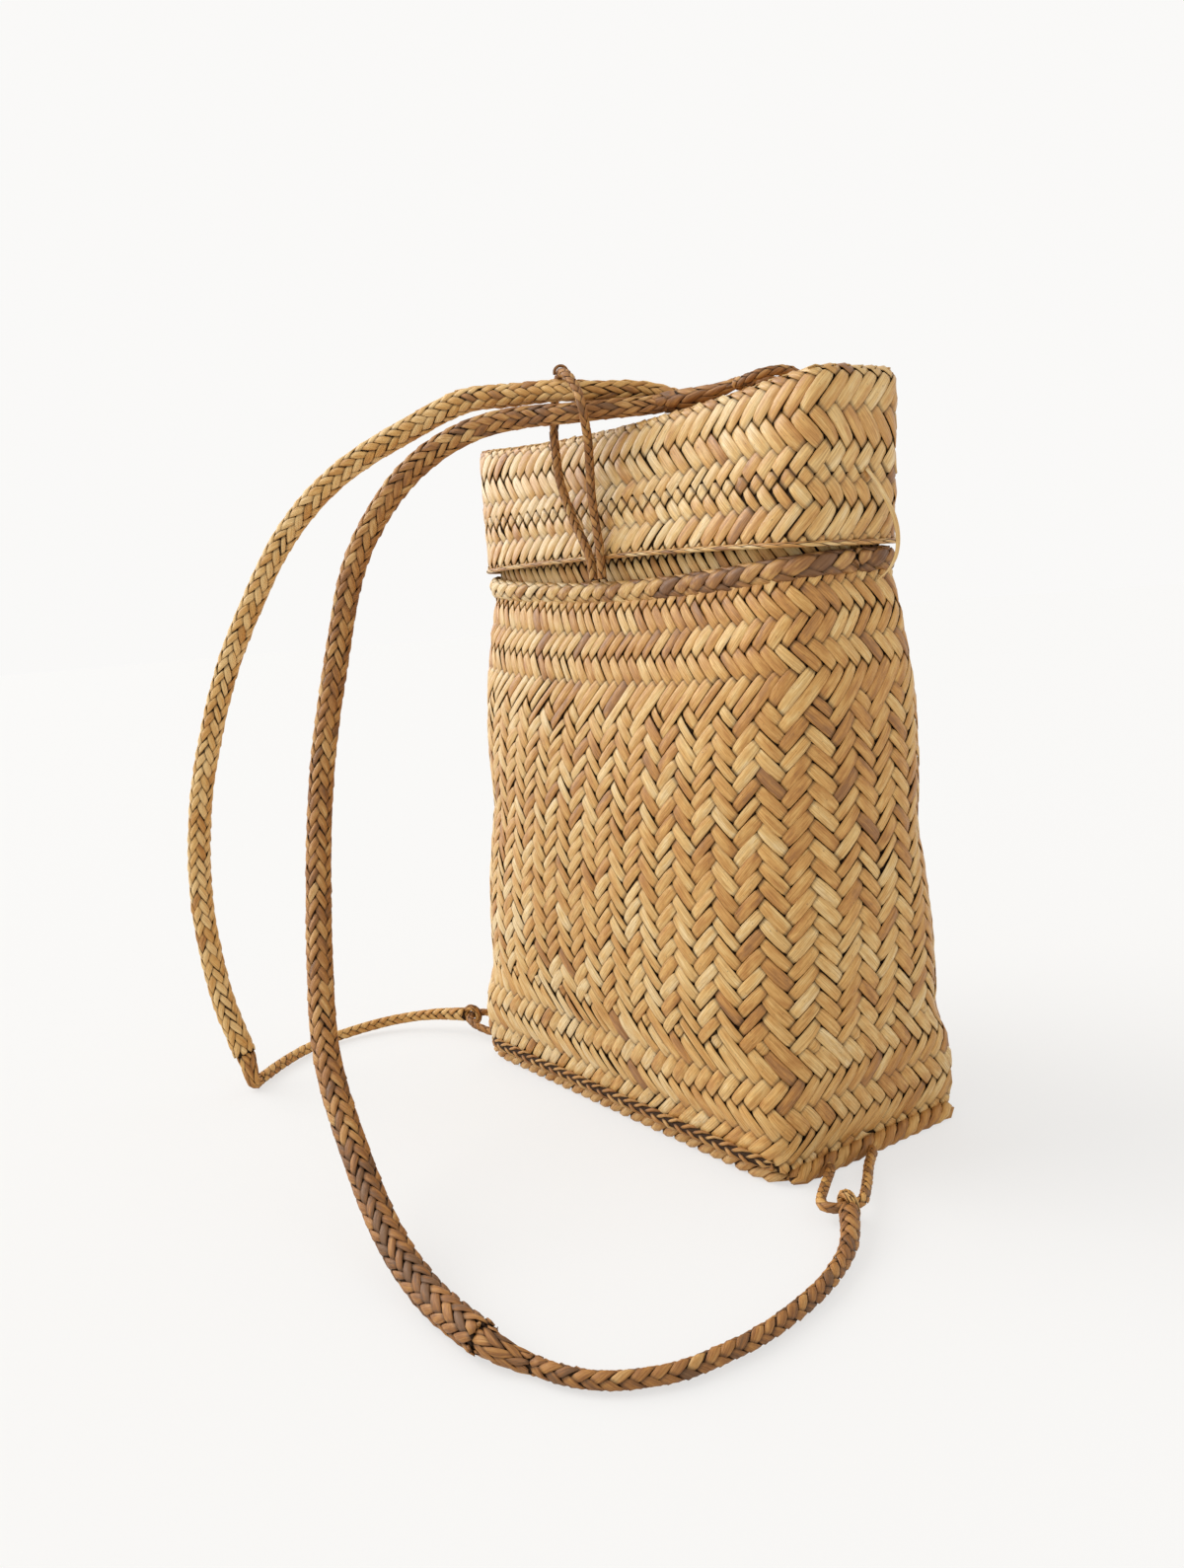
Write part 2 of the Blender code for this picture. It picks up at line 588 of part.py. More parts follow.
def build_splice(name, strap, tail, collection):
    """The short splice in which a strap thins down to its tail, squarely between their ends."""
    leave = strap[-1] - strap[-2]
    leave /= np.linalg.norm(leave)
    enter = tail[1] - tail[0]
    enter /= np.linalg.norm(enter)
    start = strap[-1] + CLEARANCE * leave
    end = tail[0] - CLEARANCE * enter
    reach = np.linalg.norm(end - start)
    corners = [start, start + reach * SPLICE_END_SHARE * leave, end - reach * SPLICE_END_SHARE * enter, end]
    radii = [STRAP_RADIUS, STRAP_RADIUS, TAIL_RADIUS, TAIL_RADIUS]
    tube(name, corners, radii, collection, BROWN_STRAW)


def build_binding(collection):
    """The binding on top of the lid in which both straps come together."""
    rings = []
    for (x, y, z), half_width, half_height in BINDING_RUN:
        points = []
        for i in range(BINDING_SIDES):
            turn = 2 * math.pi * i / BINDING_SIDES
            points.append((x, y + half_width * math.cos(turn), z + half_height * math.sin(turn)))
        rings.append(points)
    add_object("strap_binding", loft_mesh("strap_binding", rings, caps=True), collection, BROWN_STRAW)


def build_round(name, place, axis, radius, tube_radius, collection):
    """A round turn of braid about an axis: an eye folded round a loop."""
    bpy.ops.mesh.primitive_torus_add(
        major_radius=radius, minor_radius=tube_radius,
        major_segments=ROUND_SEGMENTS, minor_segments=ROUND_SIDES, location=place)
    turn = bpy.context.object
    turn.name = name
    turn.data.name = name
    turn.rotation_euler = Vector(axis).to_track_quat("Z", "Y").to_euler()
    turn.data.shade_smooth()
    turn.data.materials.append(plaited_material(name + "_fibre", GOLDEN_STRAW))
    for owner in list(turn.users_collection):
        owner.objects.unlink(turn)
    collection.objects.link(turn)


def build_knot(name, collection):
    """The knot on top of the back tie loop: it saddles the cord and leaves room for the strap."""
    along = Vector(KNOT_AXIS).normalized()
    side = along.cross(Vector((0, 0, 1))).normalized()
    up = side.cross(along)
    points = []
    for turn in np.linspace(-KNOT_HALF_TURN, KNOT_HALF_TURN, KNOT_STEPS + 1):
        arm = side * math.sin(turn) + up * math.cos(turn)
        points.append(Vector(KNOT_PLACE) + KNOT_RADIUS * arm)
    tube(name, points, [KNOT_TUBE_RADIUS] * len(points), collection, BROWN_STRAW)


def build_cords(collection):
    """Straps, splices, tails, tie loops, base loops and eyes."""
    right_strap = build_strap("right_strap", RIGHT_STRAP_ROUTE, collection)
    left_strap = build_strap("left_strap", LEFT_STRAP_ROUTE, collection)
    right_tail = build_tail("right_strap_tail", RIGHT_TAIL_ROUTE, collection, BROWN_STRAW)
    left_tail = build_tail("left_strap_tail", LEFT_TAIL_ROUTE, collection, GOLDEN_STRAW)
    build_splice("right_splice", right_strap, right_tail, collection)
    build_splice("left_splice", left_strap, left_tail, collection)
    even_cord("back_tie_loop", BACK_TIE_ROUTE, TIE_RADIUS, TIE_SPACING_SHARE, collection, BROWN_STRAW)
    even_cord("front_tie_loop", FRONT_TIE_ROUTE, TIE_RADIUS, TIE_SPACING_SHARE, collection, BROWN_STRAW)
    base_loops = (("right_base_loop", RIGHT_BASE_LOOP_ROUTE), ("left_base_loop", LEFT_BASE_LOOP_ROUTE))
    for name, route in base_loops:
        even_cord(name, route, BASE_LOOP_RADIUS, BASE_LOOP_SPACING_SHARE, collection, GOLDEN_STRAW)
    build_binding(collection)
    build_round("right_tail_eye", RIGHT_EYE_PLACE, RIGHT_EYE_AXIS, EYE_RADIUS, EYE_TUBE_RADIUS, collection)
    build_round("left_tail_eye", LEFT_EYE_PLACE, LEFT_EYE_AXIS, EYE_RADIUS, EYE_TUBE_RADIUS, collection)
    build_knot("back_tie_knot", collection)


def main():
    """Build the whole basket."""
    clear_scene()
    basket = new_collection(COLLECTION_NAME)
    build_body_wall(basket)
    build_base(basket)
    build_rim_braid(basket)
    build_neck_collar(basket)
    build_lid(basket)
    build_tether(basket)
    build_cords(basket)


main()
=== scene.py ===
"""Dresses the plaited pack basket: bias-plaited walls, braided rim, straps and loops.

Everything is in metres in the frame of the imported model. A wall is read as a lattice of strips: u counts
strips round it and v counts them up it, so that one family of strips keeps u - v and the other keeps u + v.
Along a strip, places count half steps of v, so that its crossing number n is centred at place n.
"""

import logging
import math
from dataclasses import dataclass
from enum import Enum
from typing import Callable, Sequence

import bpy
import numpy as np
from mathutils import Matrix, Vector


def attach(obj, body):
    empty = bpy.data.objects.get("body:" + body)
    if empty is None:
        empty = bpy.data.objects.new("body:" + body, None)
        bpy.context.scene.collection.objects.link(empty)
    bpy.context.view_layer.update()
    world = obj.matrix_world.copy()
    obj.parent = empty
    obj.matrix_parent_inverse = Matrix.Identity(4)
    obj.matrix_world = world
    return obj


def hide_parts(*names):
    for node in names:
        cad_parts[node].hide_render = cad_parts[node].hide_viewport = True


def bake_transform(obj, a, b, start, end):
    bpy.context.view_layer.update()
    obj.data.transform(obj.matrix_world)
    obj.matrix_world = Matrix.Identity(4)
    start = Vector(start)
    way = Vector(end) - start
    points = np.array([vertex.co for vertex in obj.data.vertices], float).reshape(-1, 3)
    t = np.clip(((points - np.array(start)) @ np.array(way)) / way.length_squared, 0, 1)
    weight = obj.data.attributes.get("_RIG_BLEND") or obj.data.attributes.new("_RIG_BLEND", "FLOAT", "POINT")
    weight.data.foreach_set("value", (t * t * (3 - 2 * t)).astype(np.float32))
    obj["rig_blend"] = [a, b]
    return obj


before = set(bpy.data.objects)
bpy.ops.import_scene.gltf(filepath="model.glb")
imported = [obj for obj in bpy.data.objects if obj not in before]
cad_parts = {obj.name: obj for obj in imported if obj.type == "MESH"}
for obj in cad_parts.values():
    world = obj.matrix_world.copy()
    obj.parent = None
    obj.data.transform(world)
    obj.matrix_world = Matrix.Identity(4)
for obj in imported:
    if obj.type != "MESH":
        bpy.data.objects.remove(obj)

LOG = logging.getLogger("pack_basket")
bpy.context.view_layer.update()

Array = np.ndarray
Point = tuple[float, float, float]
Colour = tuple[float, float, float]
Rule = Callable[[Array, Array, Array], Array]
HeightOf = Callable[[Array, Array], Array]
SizeAt = Callable[[Array], tuple[Array, Array, Array]]
Spans = Sequence[tuple[int, float, float]]
Stretch = tuple[float, float]
Material = bpy.types.Material
Item = bpy.types.Object
Socket = bpy.types.NodeSocket
Tree = bpy.types.NodeTree

# A length or share too small to matter, and the samples of a line that is cut or evened out afterwards
TINY = 1e-9
FINE_STEPS = 4001
# Points in a ring of a wall's surface and of a cord's surface
WALL_POINTS = 1440
CORD_POINTS = 32
# Crossings that a wall's strip passes over or under at a time
FLOAT = 3


class Family(Enum):
    """The two families of strips in a bias plait, as seen from outside."""

    RISING = 1
    FALLING = -1


class Body(Enum):
    """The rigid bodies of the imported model."""

    BASKET = "basket"
    LID = "lid"


@dataclass(frozen=True)
class Section:
    """A rounded rectangular outline at one height of the basket."""

    height: float
    width: float
    depth: float
    squareness: float


@dataclass(frozen=True)
class Palette:
    """Colours of one lot of plant strips, from the most bleached to the most weathered."""

    bleached: Colour
    straw: Colour
    honey: Colour
    amber: Colour
    weathered: Colour

    def stops(self) -> list[tuple[float, Colour]]:
        """Places of the colours on a ramp from 0 to 1."""
        return list(zip((0.0, 0.25, 0.5, 0.75, 1.0),
                        (self.bleached, self.straw, self.honey, self.amber, self.weathered)))


STRAW_PALETTE = Palette((0.90, 0.71, 0.40), (0.83, 0.57, 0.235), (0.73, 0.425, 0.135),
                        (0.58, 0.285, 0.077), (0.36, 0.175, 0.063))
RIM_PALETTE = Palette((0.90, 0.71, 0.40), (0.83, 0.57, 0.235), (0.68, 0.40, 0.135),
                      (0.42, 0.20, 0.062), (0.23, 0.11, 0.042))
BRAID_PALETTE = Palette((0.74, 0.48, 0.20), (0.60, 0.335, 0.11), (0.50, 0.24, 0.068),
                        (0.35, 0.155, 0.045), (0.21, 0.105, 0.042))
GOLDEN_BRAID_PALETTE = Palette((0.88, 0.62, 0.28), (0.79, 0.49, 0.17), (0.67, 0.36, 0.10),
                               (0.50, 0.235, 0.065), (0.30, 0.15, 0.055))


class Nodes:
    """A short way to add and join shader nodes."""

    def __init__(self, tree: Tree) -> None:
        """Keeps the tree that nodes are added to."""
        self.tree = tree

    def add(self, kind: str, values: dict | None = None, **settings: object) -> bpy.types.Node:
        """Adds a node.

        Args:
            kind: the node's Blender type.
            values: input values, or sockets to join, by input name or number.
            settings: the node's own settings.

        Returns:
            The new node.
        """
        node = self.tree.nodes.new(kind)
        for name, value in settings.items():
            setattr(node, name, value)
        for name, value in (values or {}).items():
            if isinstance(value, Socket):
                self.tree.links.new(value, node.inputs[name])
            else:
                node.inputs[name].default_value = value
        return node

    def math(self, operation: str, *values: object) -> Socket:
        """Adds a Math node over numbers or sockets and returns its output."""
        return self.add("ShaderNodeMath", dict(enumerate(values)), operation=operation).outputs[0]

    def centred(self, value: object, depth: float) -> Socket:
        """Turns a mask from 0 to 1 into a change either way, of this depth in all."""
        return self.math("MULTIPLY", self.math("SUBTRACT", value, 0.5), depth)

    def mix(self, factor: object, first: object, second: object, blend: str) -> Socket:
        """Mixes two colours and returns the result."""
        values = {0: factor, 6: first, 7: second}
        return self.add("ShaderNodeMix", values, data_type="RGBA", blend_type=blend).outputs[2]

    def spread(self, value: object, low: float, high: float, to_low: float = 0.0,
               to_high: float = 1.0) -> Socket:
        """Maps a range of a value onto another, clamped, and returns it."""
        limits = dict(enumerate((value, low, high, to_low, to_high)))
        return self.add("ShaderNodeMapRange", limits).outputs[0]


def fibre_group() -> Tree:
    """Makes the shader group that gives a strip its fibres, blotches and specks.

    Returns:
        A group that reads the strip's own map and tone and puts out masks and a height.
    """
    tree = bpy.data.node_groups.new("strip_fibres", "ShaderNodeTree")
    for name, kind in (("Map", "Vector"), ("Tone", "Float"), ("Fineness", "Float")):
        tree.interface.new_socket(name, in_out="INPUT", socket_type="NodeSocket" + kind)
    for name in ("Streaks", "Blotches", "Specks", "Height"):
        tree.interface.new_socket(name, in_out="OUTPUT", socket_type="NodeSocketFloat")
    nodes = Nodes(tree)
    source = nodes.add("NodeGroupInput")
    apart = nodes.add("ShaderNodeSeparateXYZ", {0: source.outputs["Map"]})
    # A strip's own tone moves its noise, so that no two strips are alike
    shift = nodes.math("MULTIPLY", source.outputs["Tone"], 53.0)

    def noise(along: float, across: float, detail: float, rough: float) -> Socket:
        """Adds noise that is drawn out along the strip.

        Args:
            along: spots to a metre of strip.
            across: spots over its width at a fineness of 1.
            detail: octaves of the noise.
            rough: weight of the finer octaves.

        Returns:
            The noise's value.
        """
        finer = nodes.math("MULTIPLY", source.outputs["Fineness"], across)
        place = nodes.add("ShaderNodeCombineXYZ", {
            0: nodes.math("MULTIPLY", apart.outputs[0], along),
            1: nodes.math("MULTIPLY", apart.outputs[1], finer),
            2: shift})
        values = {"Vector": place.outputs[0], "Scale": 1.0, "Detail": detail, "Roughness": rough}
        return nodes.add("ShaderNodeTexNoise", values).outputs[0]

    streaks = noise(along=55.0, across=11.0, detail=4.0, rough=0.62)
    lines = noise(along=30.0, across=34.0, detail=2.0, rough=0.5)
    blotches = noise(along=75.0, across=1.6, detail=3.0, rough=0.6)
    grit = noise(along=620.0, across=6.5, detail=2.0, rough=0.5)
    streak_weight, line_weight = 0.55, 0.45
    nodes.add("NodeGroupOutput", {
        "Streaks": nodes.spread(streaks, 0.32, 0.68),
        "Blotches": nodes.spread(blotches, 0.33, 0.67),
        "Specks": nodes.spread(grit, 0.66, 0.76),
        "Height": nodes.math("ADD", nodes.math("MULTIPLY", streaks, streak_weight),
                             nodes.math("MULTIPLY", lines, line_weight))})
    return tree


@dataclass(frozen=True)
class StripFinish:
    """Dry plant strip: colours by tone, with fibres, blotches, specks, darkened edges and painted shade in
    the gaps.
    """

    name: str
    palette: Palette
    roughness: float = 0.42
    fibre_roughness: tuple[float, float] = (0.12, -0.06)
    specular: float = 0.35
    streak_depth: float = 0.65
    blotch_depth: float = 0.38
    patch_depth: float = 0.26
    patch_scale: float = 13.0
    speck_depth: float = 0.6
    # Painted shade in the gaps: how strongly, and over which depths, a strip darkens where it dives under
    # others
    gap_shade_depth: float = 0.95
    gap_shade_range: tuple[float, float] = (-0.45, 0.75)
    edge_depth: float = 0.2
    edge_start: float = 0.7
    bump: float = 0.45
    bump_height: float = 0.00035
    fineness: float = 1.0
    fibre_shadow: Colour = (0.42, 0.27, 0.13)
    # Colour that each strip darkens towards near its long edges
    edge_darkening: Colour = (0.35, 0.2, 0.1)
    speck_brown: Colour = (0.16, 0.075, 0.03)
    # Colour of the painted shade in the gaps between strips
    painted_gap_shade: Colour = (0.022, 0.010, 0.004)

    def add_ramp(self, nodes: Nodes, tone: Socket) -> Socket:
        """Adds the ramp of the palette's colours.

        Args:
            nodes: the material's nodes.
            tone: place on the ramp, from 0 to 1.

        Returns:
            The colour there.
        """
        node = nodes.add("ShaderNodeValToRGB", {0: tone})
        elements = node.color_ramp.elements
        stops = self.palette.stops()
        while len(elements) < len(stops):
            elements.new(0.5)
        for element, (place, colour) in zip(elements, stops):
            element.position = place
            element.color = (*colour, 1)
        return node.outputs[0]

    def build(self, fibres: Tree) -> Material:
        """Makes the material.

        Args:
            fibres: the shared shader group of fibre masks.

        Returns:
            The finished material.
        """
        material = bpy.data.materials.new(self.name)
        material.use_nodes = True
        tree = material.node_tree
        nodes = Nodes(tree)
        shader = tree.nodes["Principled BSDF"]
        tone = nodes.add("ShaderNodeAttribute", attribute_name="tone").outputs["Fac"]
        depth = nodes.add("ShaderNodeAttribute", attribute_name="depth").outputs["Fac"]
        strip_map = nodes.add("ShaderNodeUVMap", uv_map="strip").outputs[0]
        values = {"Map": strip_map, "Tone": tone, "Fineness": self.fineness}
        grain = nodes.add("ShaderNodeGroup", values, node_tree=fibres).outputs
        place = nodes.add("ShaderNodeTexCoord").outputs["Object"]
        values = {"Vector": place, "Scale": self.patch_scale, "Detail": 2.0}
        patches = nodes.add("ShaderNodeTexNoise", values).outputs[0]
        blotched = nodes.math("ADD", tone, nodes.centred(grain["Blotches"], self.blotch_depth))
        colour = self.add_ramp(nodes, nodes.math("ADD", blotched, nodes.centred(patches, self.patch_depth)))
        across = nodes.add("ShaderNodeSeparateXYZ", {0: strip_map}).outputs[1]
        from_middle = nodes.math("ABSOLUTE", nodes.math("SUBTRACT", nodes.math("MULTIPLY", across, 2.0), 1.0))
        # Painted shade: a strip darkens where it dives under others, by its depth, and turns rough there
        low, high = self.gap_shade_range
        gap_shade_mask = nodes.math("MULTIPLY", nodes.spread(depth, low, high, 1.0, 0.0), self.gap_shade_depth)
        streak = nodes.math("SUBTRACT", 1.0, grain["Streaks"])
        for factor, tint, blend in (
                (nodes.math("MULTIPLY", streak, self.streak_depth), self.fibre_shadow, "MULTIPLY"),
                (nodes.math("MULTIPLY", nodes.spread(from_middle, self.edge_start, 1.0), self.edge_depth),
                 self.edge_darkening, "MULTIPLY"),
                (nodes.math("MULTIPLY", grain["Specks"], self.speck_depth), self.speck_brown, "MIX"),
                (gap_shade_mask, self.painted_gap_shade, "MIX")):
            colour = nodes.mix(factor, colour, (*tint, 1), blend)
        coarse, fine = (self.roughness + change for change in self.fibre_roughness)
        rough = nodes.math("MAXIMUM", nodes.spread(grain["Streaks"], 0.0, 1.0, coarse, fine), gap_shade_mask)
        values = {"Strength": self.bump, "Distance": self.bump_height, "Height": grain["Height"]}
        bump = nodes.add("ShaderNodeBump", values).outputs[0]
        shader.inputs["Specular IOR Level"].default_value = self.specular
        for name, socket in (("Base Color", colour), ("Roughness", rough), ("Normal", bump)):
            tree.links.new(socket, shader.inputs[name])
        return material


class Shell:
    """A surface that strips are plaited on, read by strip counts round it and up it."""

    def __init__(self, grid: Array, heights: Array, around: float) -> None:
        """Reads the surface from rings of points.

        Args:
            grid: points by ring and by place round the ring.
            heights: v of each ring.
            around: strips of one family round a ring.
        """
        self.grid = grid
        self.heights = heights
        self.around = around
        step_u = np.roll(grid, -1, axis=1) - np.roll(grid, 1, axis=1)
        normals = np.cross(step_u, np.gradient(grid, axis=0))
        self.normals = normals / np.maximum(np.linalg.norm(normals, axis=2, keepdims=True), TINY)

    def at(self, u: Array, v: Array) -> tuple[Array, Array]:
        """Reads the surface.

        Args:
            u: strip counts round it.
            v: strip counts up it.

        Returns:
            Points and outward normals there.
        """
        count = self.grid.shape[1]
        across = (np.asarray(u) / self.around % 1) * count
        left = np.floor(across).astype(int) % count
        right = (left + 1) % count
        x = (across - np.floor(across))[..., None]
        rise = np.interp(v, self.heights, np.arange(len(self.heights)))
        low = np.clip(np.floor(rise).astype(int), 0, len(self.heights) - 2)
        y = (rise - low)[..., None]
        read = [
            (part[low, left] * (1 - x) + part[low, right] * x) * (1 - y)
            + (part[low + 1, left] * (1 - x) + part[low + 1, right] * x) * y
            for part in (self.grid, self.normals)]
        return read[0], read[1] / np.linalg.norm(read[1], axis=-1, keepdims=True)


@dataclass
class Mat:
    """A flat or slightly domed plaited mat inside an outline, read by strip counts along x and y."""

    pitch: float
    half_width: float
    half_depth: float
    squareness: float
    height: HeightOf
    side: int = 1

    def at(self, u: Array, v: Array) -> tuple[Array, Array]:
        """Reads the mat, whose good side looks up where its side is 1 and down where it is -1.

        Args:
            u: strip counts along x.
            v: strip counts along y.

        Returns:
            Points and outward normals there.
        """
        x = np.asarray(u) * self.pitch
        y = np.asarray(v) * self.pitch * self.side
        step = self.pitch / 4
        slope_x = (self.height(x + step, y) - self.height(x - step, y)) / (2 * step)
        slope_y = (self.height(x, y + step) - self.height(x, y - step)) / (2 * step)
        normals = np.stack([-slope_x, -slope_y, np.ones_like(x)], axis=-1) * self.side
        normals /= np.linalg.norm(normals, axis=-1, keepdims=True)
        return np.stack([x, y, self.height(x, y)], axis=-1), normals

    def inside(self, u: Array, v: Array) -> Array:
        """Tells which places lie inside the outline.

        Args:
            u: strip counts along x.
            v: strip counts along y.

        Returns:
            Whether each place is inside.
        """
        x = np.abs(np.asarray(u) * self.pitch / self.half_width)
        y = np.abs(np.asarray(v) * self.pitch / self.half_depth)
        return x ** self.squareness + y ** self.squareness < 1

    def spans(self, family: Family) -> Spans:
        """Finds each strip's stretch inside the outline.

        Args:
            family: which family of strips.

        Returns:
            Each strip's number, with its first and last place along it.
        """
        shortest = 1.2
        reach = int((self.half_width + self.half_depth) / self.pitch) + 2
        places = np.linspace(-2 * reach, 2 * reach, FINE_STEPS)
        spans = []
        for number in range(-reach, reach + 1):
            a, b = np.full_like(places, number + 0.5), number + 0.5 + places
            if family is Family.FALLING:
                a, b = number + 0.5 - places, a
            found = places[self.inside((a + b) / 2, (b - a) / 2)]
            if len(found) and found[-1] - found[0] > shortest:
                spans.append((number, float(found[0]), float(found[-1])))
        return spans


def ring_faces(count: int, sides: int, start: int = 0, forward: bool = True) -> tuple[Array, Array]:
    """Makes the faces of a closed surface of rings.

    Args:
        count: rings.
        sides: points in a ring.
        start: number of the first point.
        forward: whether a face runs first along its ring and then to the next one.

    Returns:
        The points' numbers by ring, and the four numbers of each face.
    """
    index = np.arange(count * sides).reshape(count, sides) + start
    following = np.roll(index, -1, axis=1)
    order = (index[:-1], following[:-1], following[1:], index[1:])
    if not forward:
        order = (index[:-1], index[1:], following[1:], following[:-1])
    return index, np.stack(order, axis=-1).reshape(-1, 4)


@dataclass
class MeshParts:
    """Vertices, faces and per-vertex and per-corner values of many strips, gathered into one mesh."""

    vertices: list[Array]
    quads: list[Array]
    caps: list[list[int]]
    tones: list[Array]
    depths: list[Array]
    strip_map: list[Array]
    bake_map: list[Array]
    count: int = 0

    # Tone, depth and place on a strip of what lies behind the strips: its depth of -1 paints it in full shade
    # in every finish
    PAINTED_SHADE_BEHIND = (0.8, -1.0, (0.1, 0.5))

    @staticmethod
    def empty() -> "MeshParts":
        """A gathering with nothing in it."""
        return MeshParts([], [], [], [], [], [], [])

    def add(self, points: Array, quads: Array, caps: list[list[int]], tone: Array | float,
            depth: Array | float, strip_map: Array | tuple[float, float], bake_map: Array | float) -> None:
        """Adds a strip, tube or layer.

        Args:
            points: its vertices.
            quads: its four-sided faces, numbered in the whole gathering.
            caps: its end faces, numbered alike.
            tone: its tone, or one for each vertex.
            depth: how far each vertex lies under or over other strips, from -1 to 1.
            strip_map: place along and across the strip, or one for each vertex.
            bake_map: place in the map that the export bakes into, or one for each corner of its quads.
        """
        total = len(points)
        self.vertices.append(points)
        self.quads.append(quads)
        self.caps += caps
        self.tones.append(np.full(total, tone))
        self.depths.append(np.full(total, depth))
        self.strip_map.append(np.broadcast_to(strip_map, (total, 2)))
        self.bake_map.append(np.broadcast_to(bake_map, (len(quads), 4, 2)))
        self.count += total

    def add_tube(self, rings: Array, tone: float, depth: float, strip_map: Array | tuple[float, float],
                 bake_map: float) -> None:
        """Adds a tube that is closed at both ends.

        Args:
            rings: its points by ring.
            tone: its tone.
            depth: how far it lies under or over other strips, from -1 to 1.
            strip_map: place along and across the strip, or one for each vertex.
            bake_map: place in the map that the export bakes into.
        """
        index, quads = ring_faces(*rings.shape[:2], self.count)
        caps = [index[0].tolist()[::-1], index[-1].tolist()]
        self.add(rings.reshape(-1, 3), quads, caps, tone, depth, strip_map, bake_map)

    def build(self, name: str, material: Material) -> Item:
        """Makes the object.

        Args:
            name: the piece's name.
            material: its finish.

        Returns:
            The new object, at the origin.
        """
        mesh = bpy.data.meshes.new(name)
        faces = np.concatenate(self.quads).tolist() + self.caps
        mesh.from_pydata(np.concatenate(self.vertices).tolist(), [], faces)
        total = len(mesh.loops)
        corners = np.empty(total, dtype=np.int32)
        mesh.loops.foreach_get("vertex_index", corners)
        bake = np.zeros((total, 2))
        flat = np.concatenate(self.bake_map).reshape(-1, 2)
        bake[:len(flat)] = flat
        bake[len(flat):] = flat[0]
        for label, places in (("strip", np.concatenate(self.strip_map)[corners]), ("OFBake", bake)):
            layer = mesh.uv_layers.new(name=label)
            layer.data.foreach_set("uv", places.astype(np.float32).ravel())
        mesh.uv_layers.active_index = 0
        for label, parts in (("tone", self.tones), ("depth", self.depths)):
            values = mesh.attributes.new(label, "FLOAT", "POINT")
            values.data.foreach_set("value", np.concatenate(parts).astype(np.float32))
        mesh.polygons.foreach_set("use_smooth", np.ones(len(mesh.polygons), dtype=bool))
        mesh.validate()
        mesh.update()
        mesh.materials.append(material)
        item = bpy.data.objects.new(name, mesh)
        bpy.context.scene.collection.objects.link(item)
        return item


@dataclass
class StripLook:
    """How one strip varies along its length: its tone, width, sideways place, tilt and swelling."""

    tones: Array
    width: Array
    wobble: Array
    rolls: Array
    swells: Array


